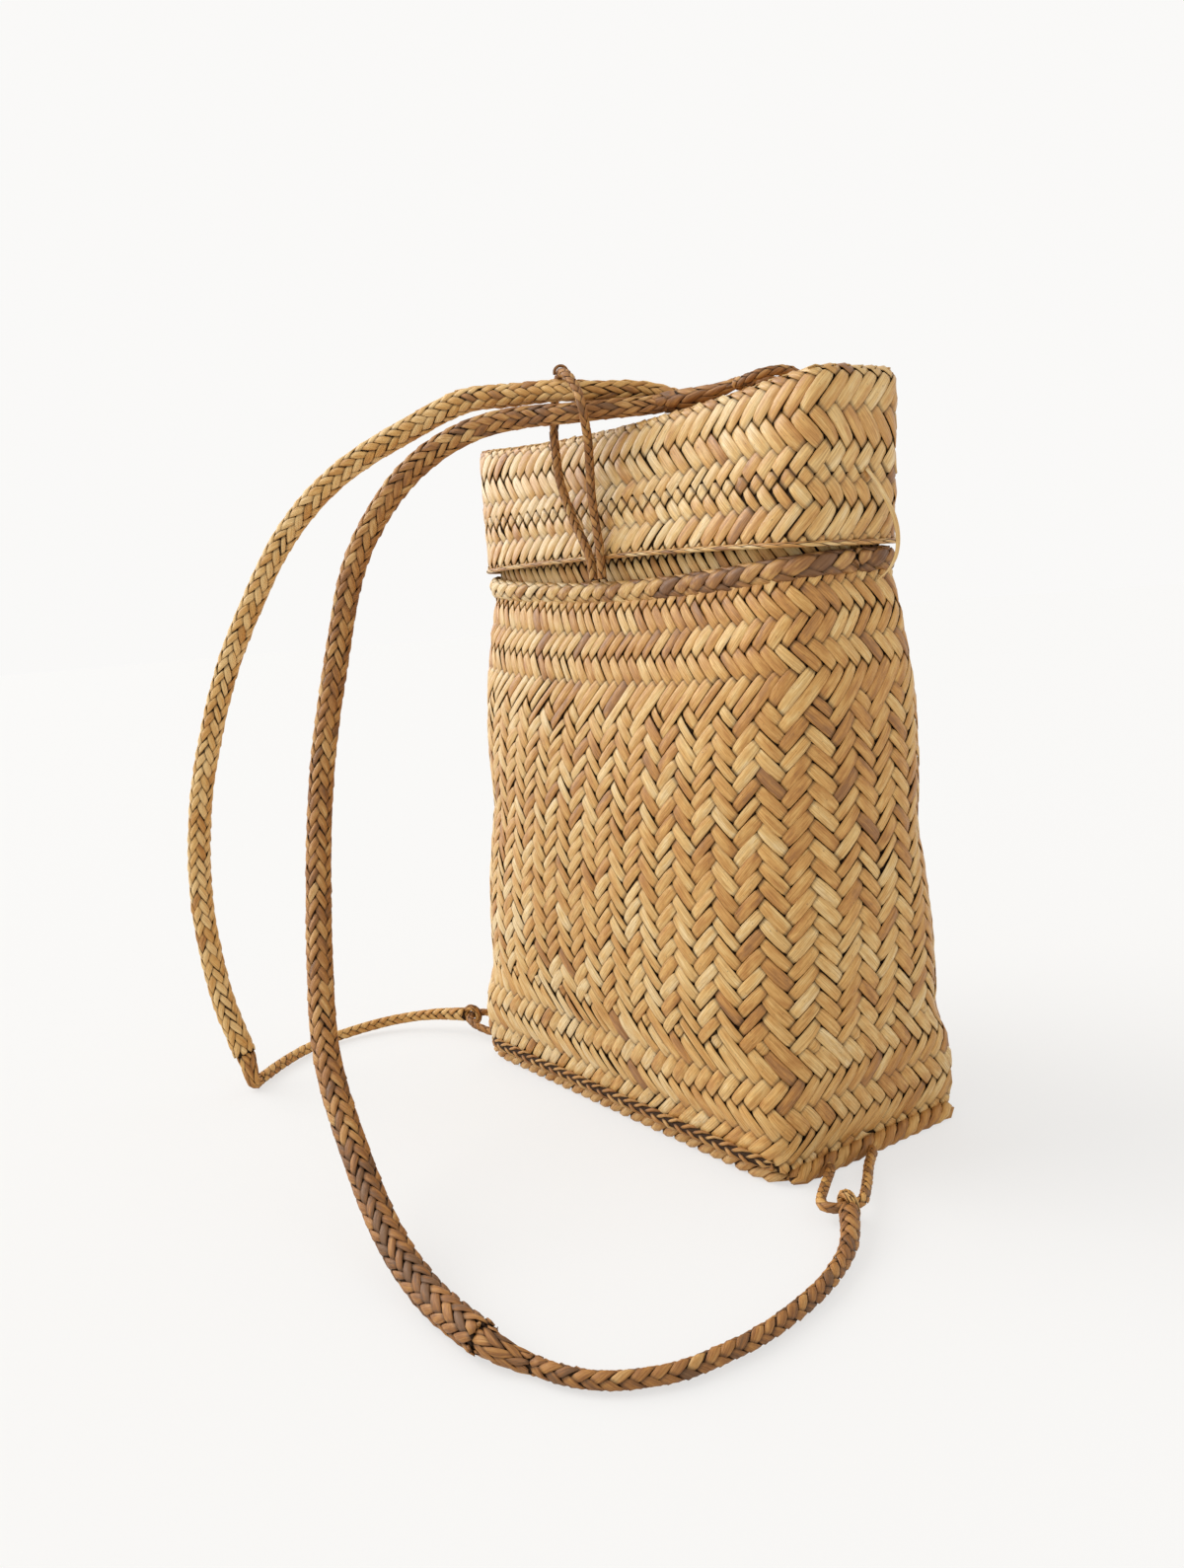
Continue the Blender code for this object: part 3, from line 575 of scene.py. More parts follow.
@dataclass
class Plait:
    """Strips of both families, over and under each other, on a shell or mat."""

    surface: Shell | Mat
    rising_on_top: Rule
    cell: float
    width_share: float = 1.03
    thickness: float = 0.00045
    lift: float = 0.0006
    bulge: float = 0.00045
    crown: float = 0.00036
    sink: float = 0.0011
    roll: float = 0.00025
    tone: float = 0.40
    tone_spread: float = 0.14
    seed: int = 1
    dive: float = 0.3
    neck: float = 0.80
    unevenness: float = 0.05
    creases: tuple[float, ...] = ()

    # A strip's outline across, as shares of half its width and of its crown or thickness
    PROFILE = ((-1.0, -0.25), (-0.84, 0.70), (0.0, 1.0), (0.84, 0.70), (1.0, -0.25),
               (0.85, -1.0), (-0.85, -1.0))
    # Samples along a strip, in crossings: longest steps on top and under, and the shortest step
    TOP_STEP, UNDER_STEP, LEAST_STEP = 1.0, 1.6, 0.05
    # Lift shares beside a crossing and in a crease, with the swelling's share beside a crossing
    NEAR_LIFT, CREASE_LIFT, NEAR_SHARE = 0.9, -0.35, 0.25
    # A crease's least distance from a float's ends, the reach that it clears, and half its width
    CREASE_MARGIN, CREASE_REACH, CREASE_HALF = 0.4, 0.3, 0.2
    # Tone: a float's spread against its strip's, the chance and change of a stained float, and the limits
    PICK_SHARE, STAIN_CHANCE, STAIN, TONE_LIMITS = 0.9, 0.10, 0.24, (0.16, 0.98)
    # Form: the swelling's limits, the chance and change of a slim float, and how fast a float widens
    SWELL_LIMITS, SLIM_CHANCE, SLIM, WIDENING = (0.5, 1.5), 0.05, 0.2, 2.4
    # Sideways wave of a strip: its size, the limits of its rate and a whole turn
    WAVE, WAVE_RATES, WAVE_TURN = 0.04, (0.3, 0.6), 6.3
    # Shares of the unevenness that go to a strip's width and to its sideways place
    WIDTH_UNEVEN, PLACE_UNEVEN = 0.6, 0.4
    # Least tilt share, and a strip's band in the bake's map: its start and width, and the map's margin
    LEAST_TILT, BAND_START, BAND_WIDTH, MAP_MARGIN = 0.2, 0.06, 0.88, 0.01
    FALLING_SEED = 500

    def runs(self, low: float, high: float, on_top: Array, first: int) -> tuple[Array, Array, Array]:
        """Samples along one strip.

        Args:
            low: where the strip starts, in crossings.
            high: where it ends.
            on_top: whether the strip is on top at each crossing from the first.
            first: number of the first crossing.

        Returns:
            Places along the strip, its lift there from -1 to 1, and the share of its float there.
        """
        samples = [(low, 1.0 if on_top[0] else -1.0, 0.0)]
        start = low
        for n, top in enumerate(on_top):
            end = min(first + n + 0.5, high)
            last = n + 1 == len(on_top)
            if not last and on_top[n + 1] == top:
                continue
            sign = 1.0 if top else -1.0
            length = end - start
            parts = max(2, round(length / (self.TOP_STEP if top else self.UNDER_STEP)))
            inner = [(start + length * n / parts, 1.0) for n in range(1, parts)]
            for crease in self.creases if top else ():
                if start + self.CREASE_MARGIN < crease < end - self.CREASE_MARGIN:
                    inner = [pair for pair in inner if abs(pair[0] - crease) > self.CREASE_REACH]
                    inner += [(crease - self.CREASE_HALF, self.NEAR_LIFT), (crease, self.CREASE_LIFT),
                              (crease + self.CREASE_HALF, self.NEAR_LIFT)]
            for place, lift in sorted(inner):
                share = math.sin(math.pi * (place - start) / length) if top and lift > 0 else 0.0
                samples.append((place, sign * lift, share))
            if last:
                samples.append((high, sign, 0.0))
                break
            near = sign * self.NEAR_LIFT
            for step, lift in ((-self.dive, near), (0.0, 0.0), (self.dive, -near)):
                if samples[-1][0] < end + step - self.LEAST_STEP and end + step < high:
                    samples.append((end + step, lift, self.NEAR_SHARE if lift > 0 else 0.0))
            start = end
        places, lifts, shares = np.array(samples).T
        return places, lifts, shares

    def draw_look(self, random: np.random.Generator, places: Array, lifts: Array, shares: Array) -> StripLook:
        """Draws one strip's chance differences.

        Args:
            random: the piece's own source of chance.
            places: samples along the strip.
            lifts: its lift at each sample.
            shares: the share of its float at each sample.

        Returns:
            Its look at each sample.
        """
        strand_tone = self.tone + random.normal(0, self.tone_spread)
        changes = np.abs(np.diff(np.sign(lifts + TINY))) > 0
        pick_of = np.concatenate([[0], np.cumsum(changes)]).astype(int)
        picks = pick_of[-1] + 1
        change = random.normal(0, self.tone_spread * self.PICK_SHARE, picks)
        change += np.where(random.random(picks) < self.STAIN_CHANCE, self.STAIN, 0.0)
        rolls = random.normal(0, self.roll, picks)
        swells = random.uniform(*self.SWELL_LIMITS, picks)
        plump = 1 + random.normal(0, self.unevenness, picks)
        plump = np.where(random.random(picks) < self.SLIM_CHANCE, plump - self.SLIM, plump)[pick_of]
        width = self.width_share * random.normal(1.0, self.unevenness * self.WIDTH_UNEVEN) * plump
        width = width * (self.neck + (1 - self.neck) * np.minimum(1.0, shares * self.WIDENING))
        rate, turn = random.uniform(*self.WAVE_RATES), random.uniform(0, self.WAVE_TURN)
        aside = random.normal(0, self.unevenness * self.PLACE_UNEVEN, picks)
        wobble = self.WAVE * np.sin(places * rate + turn) + aside[pick_of]
        tones = np.clip(strand_tone + change[pick_of], *self.TONE_LIMITS)
        return StripLook(tones, width, wobble, rolls[pick_of], swells[pick_of])

    def bake_corners(self, places: Array, band: int, bands: int, forward: bool) -> Array:
        """Gives a strip a band of its own in the map that the export bakes into.

        Args:
            places: samples along the strip.
            band: number of its band.
            bands: bands in all.
            forward: whether a face runs first along its ring and then to the next one.

        Returns:
            The four corners of each face.
        """
        sides = len(self.PROFILE)
        span = (places - places[0]) / max(places[-1] - places[0], TINY)
        near = np.repeat(span[:-1, None], sides, axis=1)
        far = np.repeat(span[1:, None], sides, axis=1)
        low, high = (np.repeat(
            ((band + self.BAND_START + self.BAND_WIDTH * (np.arange(sides) + step) / sides) / bands)[None, :],
            len(span) - 1, axis=0) for step in (0, 1))
        corners = ((near, low), (near, high), (far, high), (far, low))
        if not forward:
            corners = ((near, low), (far, low), (far, high), (near, high))
        baked = np.stack([np.stack(corner, axis=-1) for corner in corners], axis=2).reshape(-1, 4, 2)
        return baked * (1 - 2 * self.MAP_MARGIN) + self.MAP_MARGIN

    def weave(self, family: Family, spans: Spans) -> MeshParts:
        """Makes the strips of one family.

        Args:
            family: which family.
            spans: each strip's number, with its first and last place along it, in crossings.

        Returns:
            The strips, ready to be built into a mesh.
        """
        rising = family is Family.RISING
        random = np.random.default_rng(self.seed + (0 if rising else self.FALLING_SEED))
        made = MeshParts.empty()
        across, rise = np.array(self.PROFILE).T
        sides = len(across)
        shape = np.where(rise > -0.5, rise * self.crown, -self.thickness)
        for band, (number, low, high) in enumerate(spans):
            first = math.ceil(low - 0.5 + TINY)
            cells = np.arange(first, math.floor(high + 0.5 - TINY) + 1)
            own = np.full(cells.shape, number)
            if rising:
                on_top = self.rising_on_top(own, number + cells, cells)
            else:
                on_top = ~self.rising_on_top(number - cells, own, cells)
            places, lifts, shares = self.runs(low, high, on_top, first)
            look = self.draw_look(random, places, lifts, shares)
            aside = across[None, :] * look.width[:, None] / 2 + look.wobble[:, None]
            along = np.repeat(places[:, None], sides, axis=1)
            middle = number + 0.5
            a, b = (middle + aside, middle + along) if rising else (middle - along, middle + aside)
            points, normals = self.surface.at((a + b) / 2, (b - a) / 2)
            lift = lifts[:, None] * self.lift - self.sink
            lift = lift + shares[:, None] * look.swells[:, None] * self.bulge
            lift = lift + look.rolls[:, None] * across[None, :] * np.maximum(shares, self.LEAST_TILT)[:, None]
            points = points + normals * (lift + shape[None, :])[..., None]
            count = len(places)
            index, quads = ring_faces(count, sides, made.count, forward=rising)
            ends = [index[0].tolist(), index[-1].tolist()]
            ends[0 if rising else 1].reverse()
            plan = np.stack([along * self.cell, np.repeat((across[None, :] + 1) / 2, count, axis=0)], axis=-1)
            tones, depths = np.repeat(look.tones, sides), np.repeat(lifts, sides)
            made.add(points.reshape(-1, 3), quads, ends, tones, depths, plan.reshape(-1, 2),
                     self.bake_corners(places, band, len(spans), rising))
        return made


def outline(width: float, depth: float, squareness: float, count: int) -> Array:
    """Finds evenly spaced points round a rounded rectangle, from the middle of its +X side.

    Args:
        width: size along x.
        depth: size along y.
        squareness: 2 is an ellipse, large numbers are a rectangle.
        count: number of points.

    Returns:
        The points' x and y.
    """
    turn = np.linspace(0, 2 * math.pi, FINE_STEPS)
    cosine, sine = np.cos(turn), np.sin(turn)
    x = width / 2 * np.sign(cosine) * np.abs(cosine) ** (2 / squareness)
    y = depth / 2 * np.sign(sine) * np.abs(sine) ** (2 / squareness)
    way = np.concatenate([[0], np.cumsum(np.hypot(np.diff(x), np.diff(y)))])
    even = np.linspace(0, way[-1], count + 1)[:-1]
    return np.stack([np.interp(even, way, x), np.interp(even, way, y)], axis=-1)


def way_along(run: Array) -> Array:
    """Distance of each point of a run from its first, along it."""
    return np.concatenate([[0], np.cumsum(np.linalg.norm(np.diff(run, axis=0), axis=1))])


def run_length(run: Array) -> float:
    """Length of a run of points."""
    return float(np.linalg.norm(np.diff(run, axis=0), axis=1).sum())


def smooth_run(route: Sequence[Point], spacing: float) -> Array:
    """Lays the smooth curve through a route's points.

    Args:
        route: the points.
        spacing: distance between the points of the result.

    Returns:
        Evenly spaced points on the curve.
    """
    knots = np.array(route, float)
    way = way_along(knots)
    steps = np.diff(way)
    count = len(knots)
    system, target = np.zeros((count, count)), np.zeros((count, 3))
    system[0, 0] = system[-1, -1] = 1
    for i in range(1, count - 1):
        system[i, i - 1:i + 2] = steps[i - 1], 2 * (steps[i - 1] + steps[i]), steps[i]
        target[i] = 6 * ((knots[i + 1] - knots[i]) / steps[i] - (knots[i] - knots[i - 1]) / steps[i - 1])
    bends = np.linalg.solve(system, target)
    even = np.linspace(0, way[-1], max(2, round(way[-1] / spacing)) + 1)
    i = np.clip(np.searchsorted(way, even, side="right") - 1, 0, count - 2)
    h = steps[i][:, None]
    a = (way[i + 1] - even)[:, None]
    b = (even - way[i])[:, None]
    run = (bends[i] * a ** 3 + bends[i + 1] * b ** 3) / (6 * h)
    return run + (knots[i] / h - bends[i] * h / 6) * a + (knots[i + 1] / h - bends[i + 1] * h / 6) * b


def tube_shell(run: Array, half_wide: Array, half_high: Array, side: Array | None, around: int, pitch: float,
               phase: float = 0.0) -> Shell:
    """Lays the surface of a cord round a run of points.

    Args:
        run: the cord's middle line.
        half_wide: half its size across, at each point.
        half_high: half its size the other way, at each point.
        side: the direction of its width at each point, or None to carry one along.
        around: strips of one family round it.
        pitch: distance between strips along it.
        phase: angle from its side at which the strips are counted from.

    Returns:
        The surface.
    """
    tangents = np.gradient(run, axis=0)
    tangents /= np.linalg.norm(tangents, axis=1, keepdims=True)
    if side is None:
        first = np.cross(tangents[0], (0.0, 0.0, 1.0))
        if np.linalg.norm(first) < 0.1:
            first = np.array((1.0, 0.0, 0.0))
        carried = [first / np.linalg.norm(first)]
        for tangent in tangents[1:]:
            kept = carried[-1] - tangent * (carried[-1] @ tangent)
            carried.append(kept / np.linalg.norm(kept))
        side = np.array(carried)
    else:
        side = side - tangents * np.sum(side * tangents, axis=1, keepdims=True)
        side = side / np.linalg.norm(side, axis=1, keepdims=True)
    other = np.cross(tangents, side)
    turn = phase + np.linspace(0, 2 * math.pi, CORD_POINTS + 1)[:-1]
    grid = (run[:, None, :] + half_wide[:, None, None] * np.cos(turn)[None, :, None] * side[:, None, :]
            + half_high[:, None, None] * np.sin(turn)[None, :, None] * other[:, None, :])
    return Shell(grid, way_along(run) / pitch, around)


def columns(period: int, shift: int = 0) -> Rule:
    """A rule that puts the rising strips on top in upright columns of so many strips."""
    return lambda i, j, k: (i + j + 1 + shift) % (2 * period) < period


def rows(period: int, shift: int = 0) -> Rule:
    """A rule that puts the rising strips on top in every second level row."""
    return lambda i, j, k: (k // period + shift) % 2 == 1


def banded_rows(bands: Sequence[int]) -> Rule:
    """A rule with level rows of so many crossings each, falling strips on top in the lowest."""
    edges = np.cumsum(bands)
    return lambda i, j, k: np.searchsorted(edges, k, side="right") % 2 == 1


def level(height: float) -> HeightOf:
    """A height that is the same over every x and y."""
    return lambda x, y: np.full_like(x, height)


def even_spans(count: int, low: float, high: float) -> Spans:
    """Spans of so many strips that all run between the same two places."""
    return [(number, low, high) for number in range(count)]


def round_ends(way: Array, reach: float, start: bool = True) -> Array:
    """Finds the shares of a cord's radius that close its ends with a rounding.

    Args:
        way: distance along the cord of each point.
        reach: length of the rounding.
        start: whether the first end is rounded too.

    Returns:
        A share for each point.
    """
    least = 0.03
    left = way[-1] - way
    near = np.clip((np.minimum(way, left) if start else left) / reach, least, 1)
    return np.sqrt(1 - (1 - near) ** 2)


def liner(shell: Shell, inward: float, low: float, high: float) -> MeshParts:
    """Makes the layer behind a shell's strips, painted in shade, so that no light shows through their gaps.

    Args:
        shell: the surface that the strips lie on.
        inward: depth of the layer behind it.
        low: v of its lower edge.
        high: v of its upper edge.

    Returns:
        The layer.
    """
    sides, rings = 240, 25
    across, up = np.linspace(0, shell.around, sides + 1)[:-1], np.linspace(low, high, rings)
    points, normals = shell.at(*np.meshgrid(across, up))
    points = points - normals * inward
    made = MeshParts.empty()
    made.add(points.reshape(-1, 3), ring_faces(rings, sides)[1], [], *made.PAINTED_SHADE_BEHIND, 0.5)
    return made


def paint_side_shade(parts: MeshParts, amount: float, top_shade: float = 0.0, reach: float = 0.15) -> MeshParts:
    """Paints shade on strips: darkens them towards the +X side, which faces away from the lamps, and towards
    the top.

    Args:
        parts: the strips.
        amount: change of tone at the reach along x.
        top_shade: change of tone at twice the reach along z.
        reach: distance at which the change is whole.

    Returns:
        The same strips.
    """
    for points, tones in zip(parts.vertices, parts.tones):
        tones += amount * np.clip(points[:, 0] / reach, -1, 1) + top_shade * (points[:, 2] / reach - 1)
    return parts


def merge(parts: Sequence[MeshParts]) -> MeshParts:
    """Puts several gatherings into one, each with its own share of the bake's map.

    Args:
        parts: the gatherings.

    Returns:
        All of them as one.
    """
    made = MeshParts.empty()
    share = 1 / len(parts)
    for n, part in enumerate(parts):
        made.vertices += part.vertices
        made.quads += [quads + made.count for quads in part.quads]
        made.caps += [[number + made.count for number in cap] for cap in part.caps]
        made.tones += part.tones
        made.depths += part.depths
        made.strip_map += part.strip_map
        made.bake_map += [places * (1, share) + (0, n * share) for places in part.bake_map]
        made.count += part.count
    return made


def dress(item: Item, body: Body, node: str) -> None:
    """Lets a piece ride on a body and stand for a CAD node.

    Args:
        item: the piece.
        body: the body that it rides on.
        node: the CAD node.
    """
    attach(item, body.value)
    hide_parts(node)
    LOG.info("%s: %d faces", item.name, len(item.data.polygons))


def lay_strips(plait: Plait, name: str, material: Material, body: Body, node: str,
               spans: Spans | None = None, backing: tuple[float, float, float] | None = None,
               side_shade: float = 0.0, top_shade: float = 0.0) -> None:
    """Plaits both families of strips, a piece of each, and closes the second piece with a layer painted in
    shade.

    Args:
        plait: the plait.
        name: start of the pieces' names.
        material: their finish.
        body: the body that they ride on.
        node: the CAD node that they stand for.
        spans: each strip's number and places, or None on a mat, which has its own.
        backing: depth and lower and upper v of the layer painted in shade, or None for no layer.
        side_shade: change of tone towards +X.
        top_shade: change of tone towards the top.
    """
    for family in Family:
        strips = plait.weave(family, spans or plait.surface.spans(family))
        if backing and family is Family.FALLING:
            strips = merge([strips, liner(plait.surface, *backing)])
        item = paint_side_shade(strips, side_shade, top_shade).build(f"{name}_{family.name.lower()}_strips", material)
        dress(item, body, node)


@dataclass
class BraidedCord:
    """A cord braided from round turns of strip, with a core painted in shade that closes its gaps."""

    name: str
    route: Sequence[Point]
    radius: float
    around: int = 4
    pitch: float = 0.011
    width_share: float = 1.0
    tone: float = 0.5
    tone_spread: float = 0.12
    tip_radius: float | None = None
    tip_length: float = 0.15
    end_radius: float | None = None
    swell_length: float = 0.04
    seed: int = 7
    relief: float = 1.0
    closed: bool = False
    twisted: bool = False
    # Painted shade towards +X, as a change of tone
    side_shade: float = 0.0
    dive: float = 0.34

    # The relief of a braid's strips at this radius, which grows with the cord, and a twisted rope's crown
    RELIEF_RADIUS = 0.0072
    RELIEF = {"thickness": 0.0006, "lift": 0.0006, "bulge": 0.0006, "crown": 0.0007, "sink": 0.0014,
              "roll": 0.00025}
    TWIST_CROWN = 0.0034
    # Strips in a column, a crossing's length as a share of the pitch, and the core's share of the radius
    PERIOD, CELL_SHARE, CORE_SHARE = 2, 0.7, 0.76
    # Longest step along the middle line, in metres and in radii
    LONGEST_STEP, STEP_SHARE = 0.0035, 1.2
    # Points in a ring of the core, and about how many rings it has
    CORE_SIDES, CORE_RINGS = 8, 120

    def run(self) -> Array:
        """Points on the cord's middle line."""
        return smooth_run(self.route, min(self.LONGEST_STEP, self.radius * self.STEP_SHARE))

    def radii(self, run: Array) -> Array:
        """Works out how the cord's radius changes.

        Args:
            run: its middle line.

        Returns:
            The radius at each point.
        """
        way = way_along(run)
        found = np.full(len(run), self.radius)
        if self.tip_radius is not None:
            share = np.clip(way / self.tip_length, 0, 1)
            found = self.tip_radius + (self.radius - self.tip_radius) * share
        if self.end_radius is not None:
            share = np.clip(1 - (way[-1] - way) / self.swell_length, 0, 1)
            found = self.radius + (self.end_radius - self.radius) * share
        return found * round_ends(way, self.radius) if self.closed else found

    def add_shade_core(self, made: MeshParts, run: Array, radii: Array) -> None:
        """Adds the core, painted dark as shade, so that no light shows through the braid.

        Args:
            made: the braid.
            run: its middle line.
            radii: the core's radius at each point.
        """
        step = max(1, round(len(run) / self.CORE_RINGS))
        keep = np.unique(np.append(np.arange(0, len(run), step), len(run) - 1))
        shell = tube_shell(run[keep], radii[keep], radii[keep], None, self.CORE_SIDES, 1.0)
        made.add_tube(shell.grid[:, ::CORD_POINTS // self.CORE_SIDES], *made.PAINTED_SHADE_BEHIND, 0.004)

    def braid_on(self, shell: Shell, radius: float, material: Material, run: Array,
                 radii: Array) -> Item:
        """Braids strips of both families on the cord's surface and closes it with a core.

        Args:
            shell: the cord's surface.
            radius: its mean radius.
            material: its finish.
            run: its middle line.
            radii: its radius at each point.

        Returns:
            The finished piece.
        """
        scale = radius / self.RELIEF_RADIUS * self.relief
        plait = Plait(shell, columns(self.PERIOD), cell=self.pitch * self.CELL_SHARE, tone=self.tone,
                      tone_spread=self.tone_spread, width_share=self.width_share, seed=self.seed,
                      dive=self.dive, **{name: value * scale for name, value in self.RELIEF.items()})
        families = [Family.RISING, Family.FALLING]
        if self.twisted:
            plait.rising_on_top = lambda i, j, k: np.full(np.shape(k), False)
            plait.crown, plait.neck, plait.lift = self.TWIST_CROWN * scale, 1.0, 0.0
            families = [Family.FALLING]
        spans = even_spans(self.around, 0.0, float(2 * shell.heights[-1]))
        made = paint_side_shade(merge([plait.weave(family, spans) for family in families]), self.side_shade)
        self.add_shade_core(made, run, radii * self.CORE_SHARE)
        return made.build(self.name, material)

    def build(self, material: Material) -> Item:
        """Makes the braid as one mesh.

        Args:
            material: its finish.

        Returns:
            The finished piece.
        """
        run = self.run()
        radii = self.radii(run)
        shell = tube_shell(run, radii, radii, None, self.around, self.pitch)
        return self.braid_on(shell, radii.mean(), material, run, radii)


@dataclass
class BodyForm:
    """The basket's outside form, which part.py gives the CAD wall too."""

    base_width: float = 0.2840
    base_depth: float = 0.1340
    edging_reach: float = 0.0012
    shoulder_height: float = 0.3074
    shoulder_width: float = 0.2947
    shoulder_depth: float = 0.0813
    shoulder_squareness: float = 6.0
    rim_dip: float = 0.0033
    rim_rise: float = 0.0048
    rim_tilt: float = 0.030
    rim_lean: float = 0.030
    wall: float = 0.0024
    neck_clearance: float = 0.0010
    neck_rise: float = 0.0546
    neck_width: float = 0.2886
    neck_depth: float = 0.0697

    def sections(self) -> list[Section]:
        """Lists the outside sections that the form runs through.

        Returns:
            The sections, from the base up.
        """
        inset = 2 * self.edging_reach
        return [
            Section(0.0, self.base_width - inset, self.base_depth - inset, 40.0),
            Section(0.0615, 0.2986, 0.1518, 4.6),
            Section(0.1690, 0.3145, 0.1466, 2.8),
            Section(self.shoulder_height, self.shoulder_width, self.shoulder_depth, self.shoulder_squareness)]

    def size_at(self, heights: Array) -> tuple[Array, Array, Array]:
        """Reads the body's form.

        Args:
            heights: heights on the body.

        Returns:
            Width, depth and squareness there.
        """
        sections = self.sections()
        own = [section.height for section in sections]
        width = depth = np.zeros_like(heights, dtype=float)
        for n, section in enumerate(sections):
            weight = np.ones_like(width)
            for m, other in enumerate(own):
                if m != n:
                    weight = weight * (heights - other) / (own[n] - other)
            width, depth = width + section.width * weight, depth + section.depth * weight
        squares = np.log([section.squareness for section in sections])
        return width, depth, np.exp(np.interp(heights, own, squares))

    def neck_size_at(self, heights: Array) -> tuple[Array, Array, Array]:
        """Reads the neck's form.

        Args:
            heights: heights on the neck collar.

        Returns:
            Width, depth and squareness there.
        """
        inset = 2 * (self.wall + self.neck_clearance)
        width, depth, _ = self.wall_size_at(heights)
        share = np.clip((heights - self.shoulder_height) / self.neck_rise, 0, None)
        width = (width - inset) * (1 - share) + self.neck_width * share
        depth = (depth - inset) * (1 - share) + self.neck_depth * share
        return width, depth, np.full_like(width, self.shoulder_squareness)

    def wall_size_at(self, heights: Array) -> tuple[Array, Array, Array]:
        """Width, depth and squareness of the wall, which stands upright above the shoulder."""
        return self.size_at(np.minimum(heights, self.shoulder_height))

    def rim_height(self, x: Array, y: Array) -> Array:
        """Finds the height of the rim braid's middle line round the shoulder.

        Args:
            x: places along the wide sides.
            y: places along the narrow sides.

        Returns:
            The height over each place.
        """
        share = x / (self.shoulder_width / 2)
        sagging = self.shoulder_height - self.rim_dip + (self.rim_dip + self.rim_rise) * share ** 2
        return sagging - self.rim_tilt * x + self.rim_lean * y

    def ring(self, size_at: SizeAt, reference: float, height_of: HeightOf, grow: float = 0.0,
             count: int = WALL_POINTS) -> Array:
        """Makes a ring on a surface whose points keep to it at their own height.

        Args:
            size_at: the surface's size at heights.
            reference: height of the outline that sets the points' places.
            height_of: height over x and y.
            grow: margin outside the surface.
            count: points in the ring.

        Returns:
            The points.
        """
        width, depth, square = (float(value) for value in size_at(np.array(reference)))
        flat = outline(width, depth, square, count)
        heights = height_of(flat[:, 0], flat[:, 1])
        here_width, here_depth, _ = size_at(heights)
        x = flat[:, 0] * (here_width + 2 * grow) / width
        y = flat[:, 1] * (here_depth + 2 * grow) / depth
        return np.stack([x, y, heights], axis=-1)

    def rings(self, size_at: SizeAt, foot: HeightOf, top: HeightOf, references: tuple[float, float],
              count: int) -> Array:
        """Makes rings on a surface from one edge to another.

        Args:
            size_at: the surface's size at heights.
            foot: height of the lower edge over x and y.
            top: height of the upper edge over x and y.
            references: heights of the outlines that set the points' places at both edges.
            count: number of rings.

        Returns:
            The points by ring.
        """
        grid = []
        for share in np.linspace(0, 1, count):

            def height_of(x: Array, y: Array, share: float = float(share)) -> Array:
                """Height of this ring over x and y."""
                low = foot(x, y)
                return low + share * (top(x, y) - low)
            low, high = references
            grid.append(self.ring(size_at, low + share * (high - low), height_of))
        return np.array(grid)


def surface_steps(grid: Array) -> Array:
    """Distance along the surface of each ring from the first, in the middle of a wide side."""
    return way_along(grid[:, grid.shape[1] * 3 // 4])


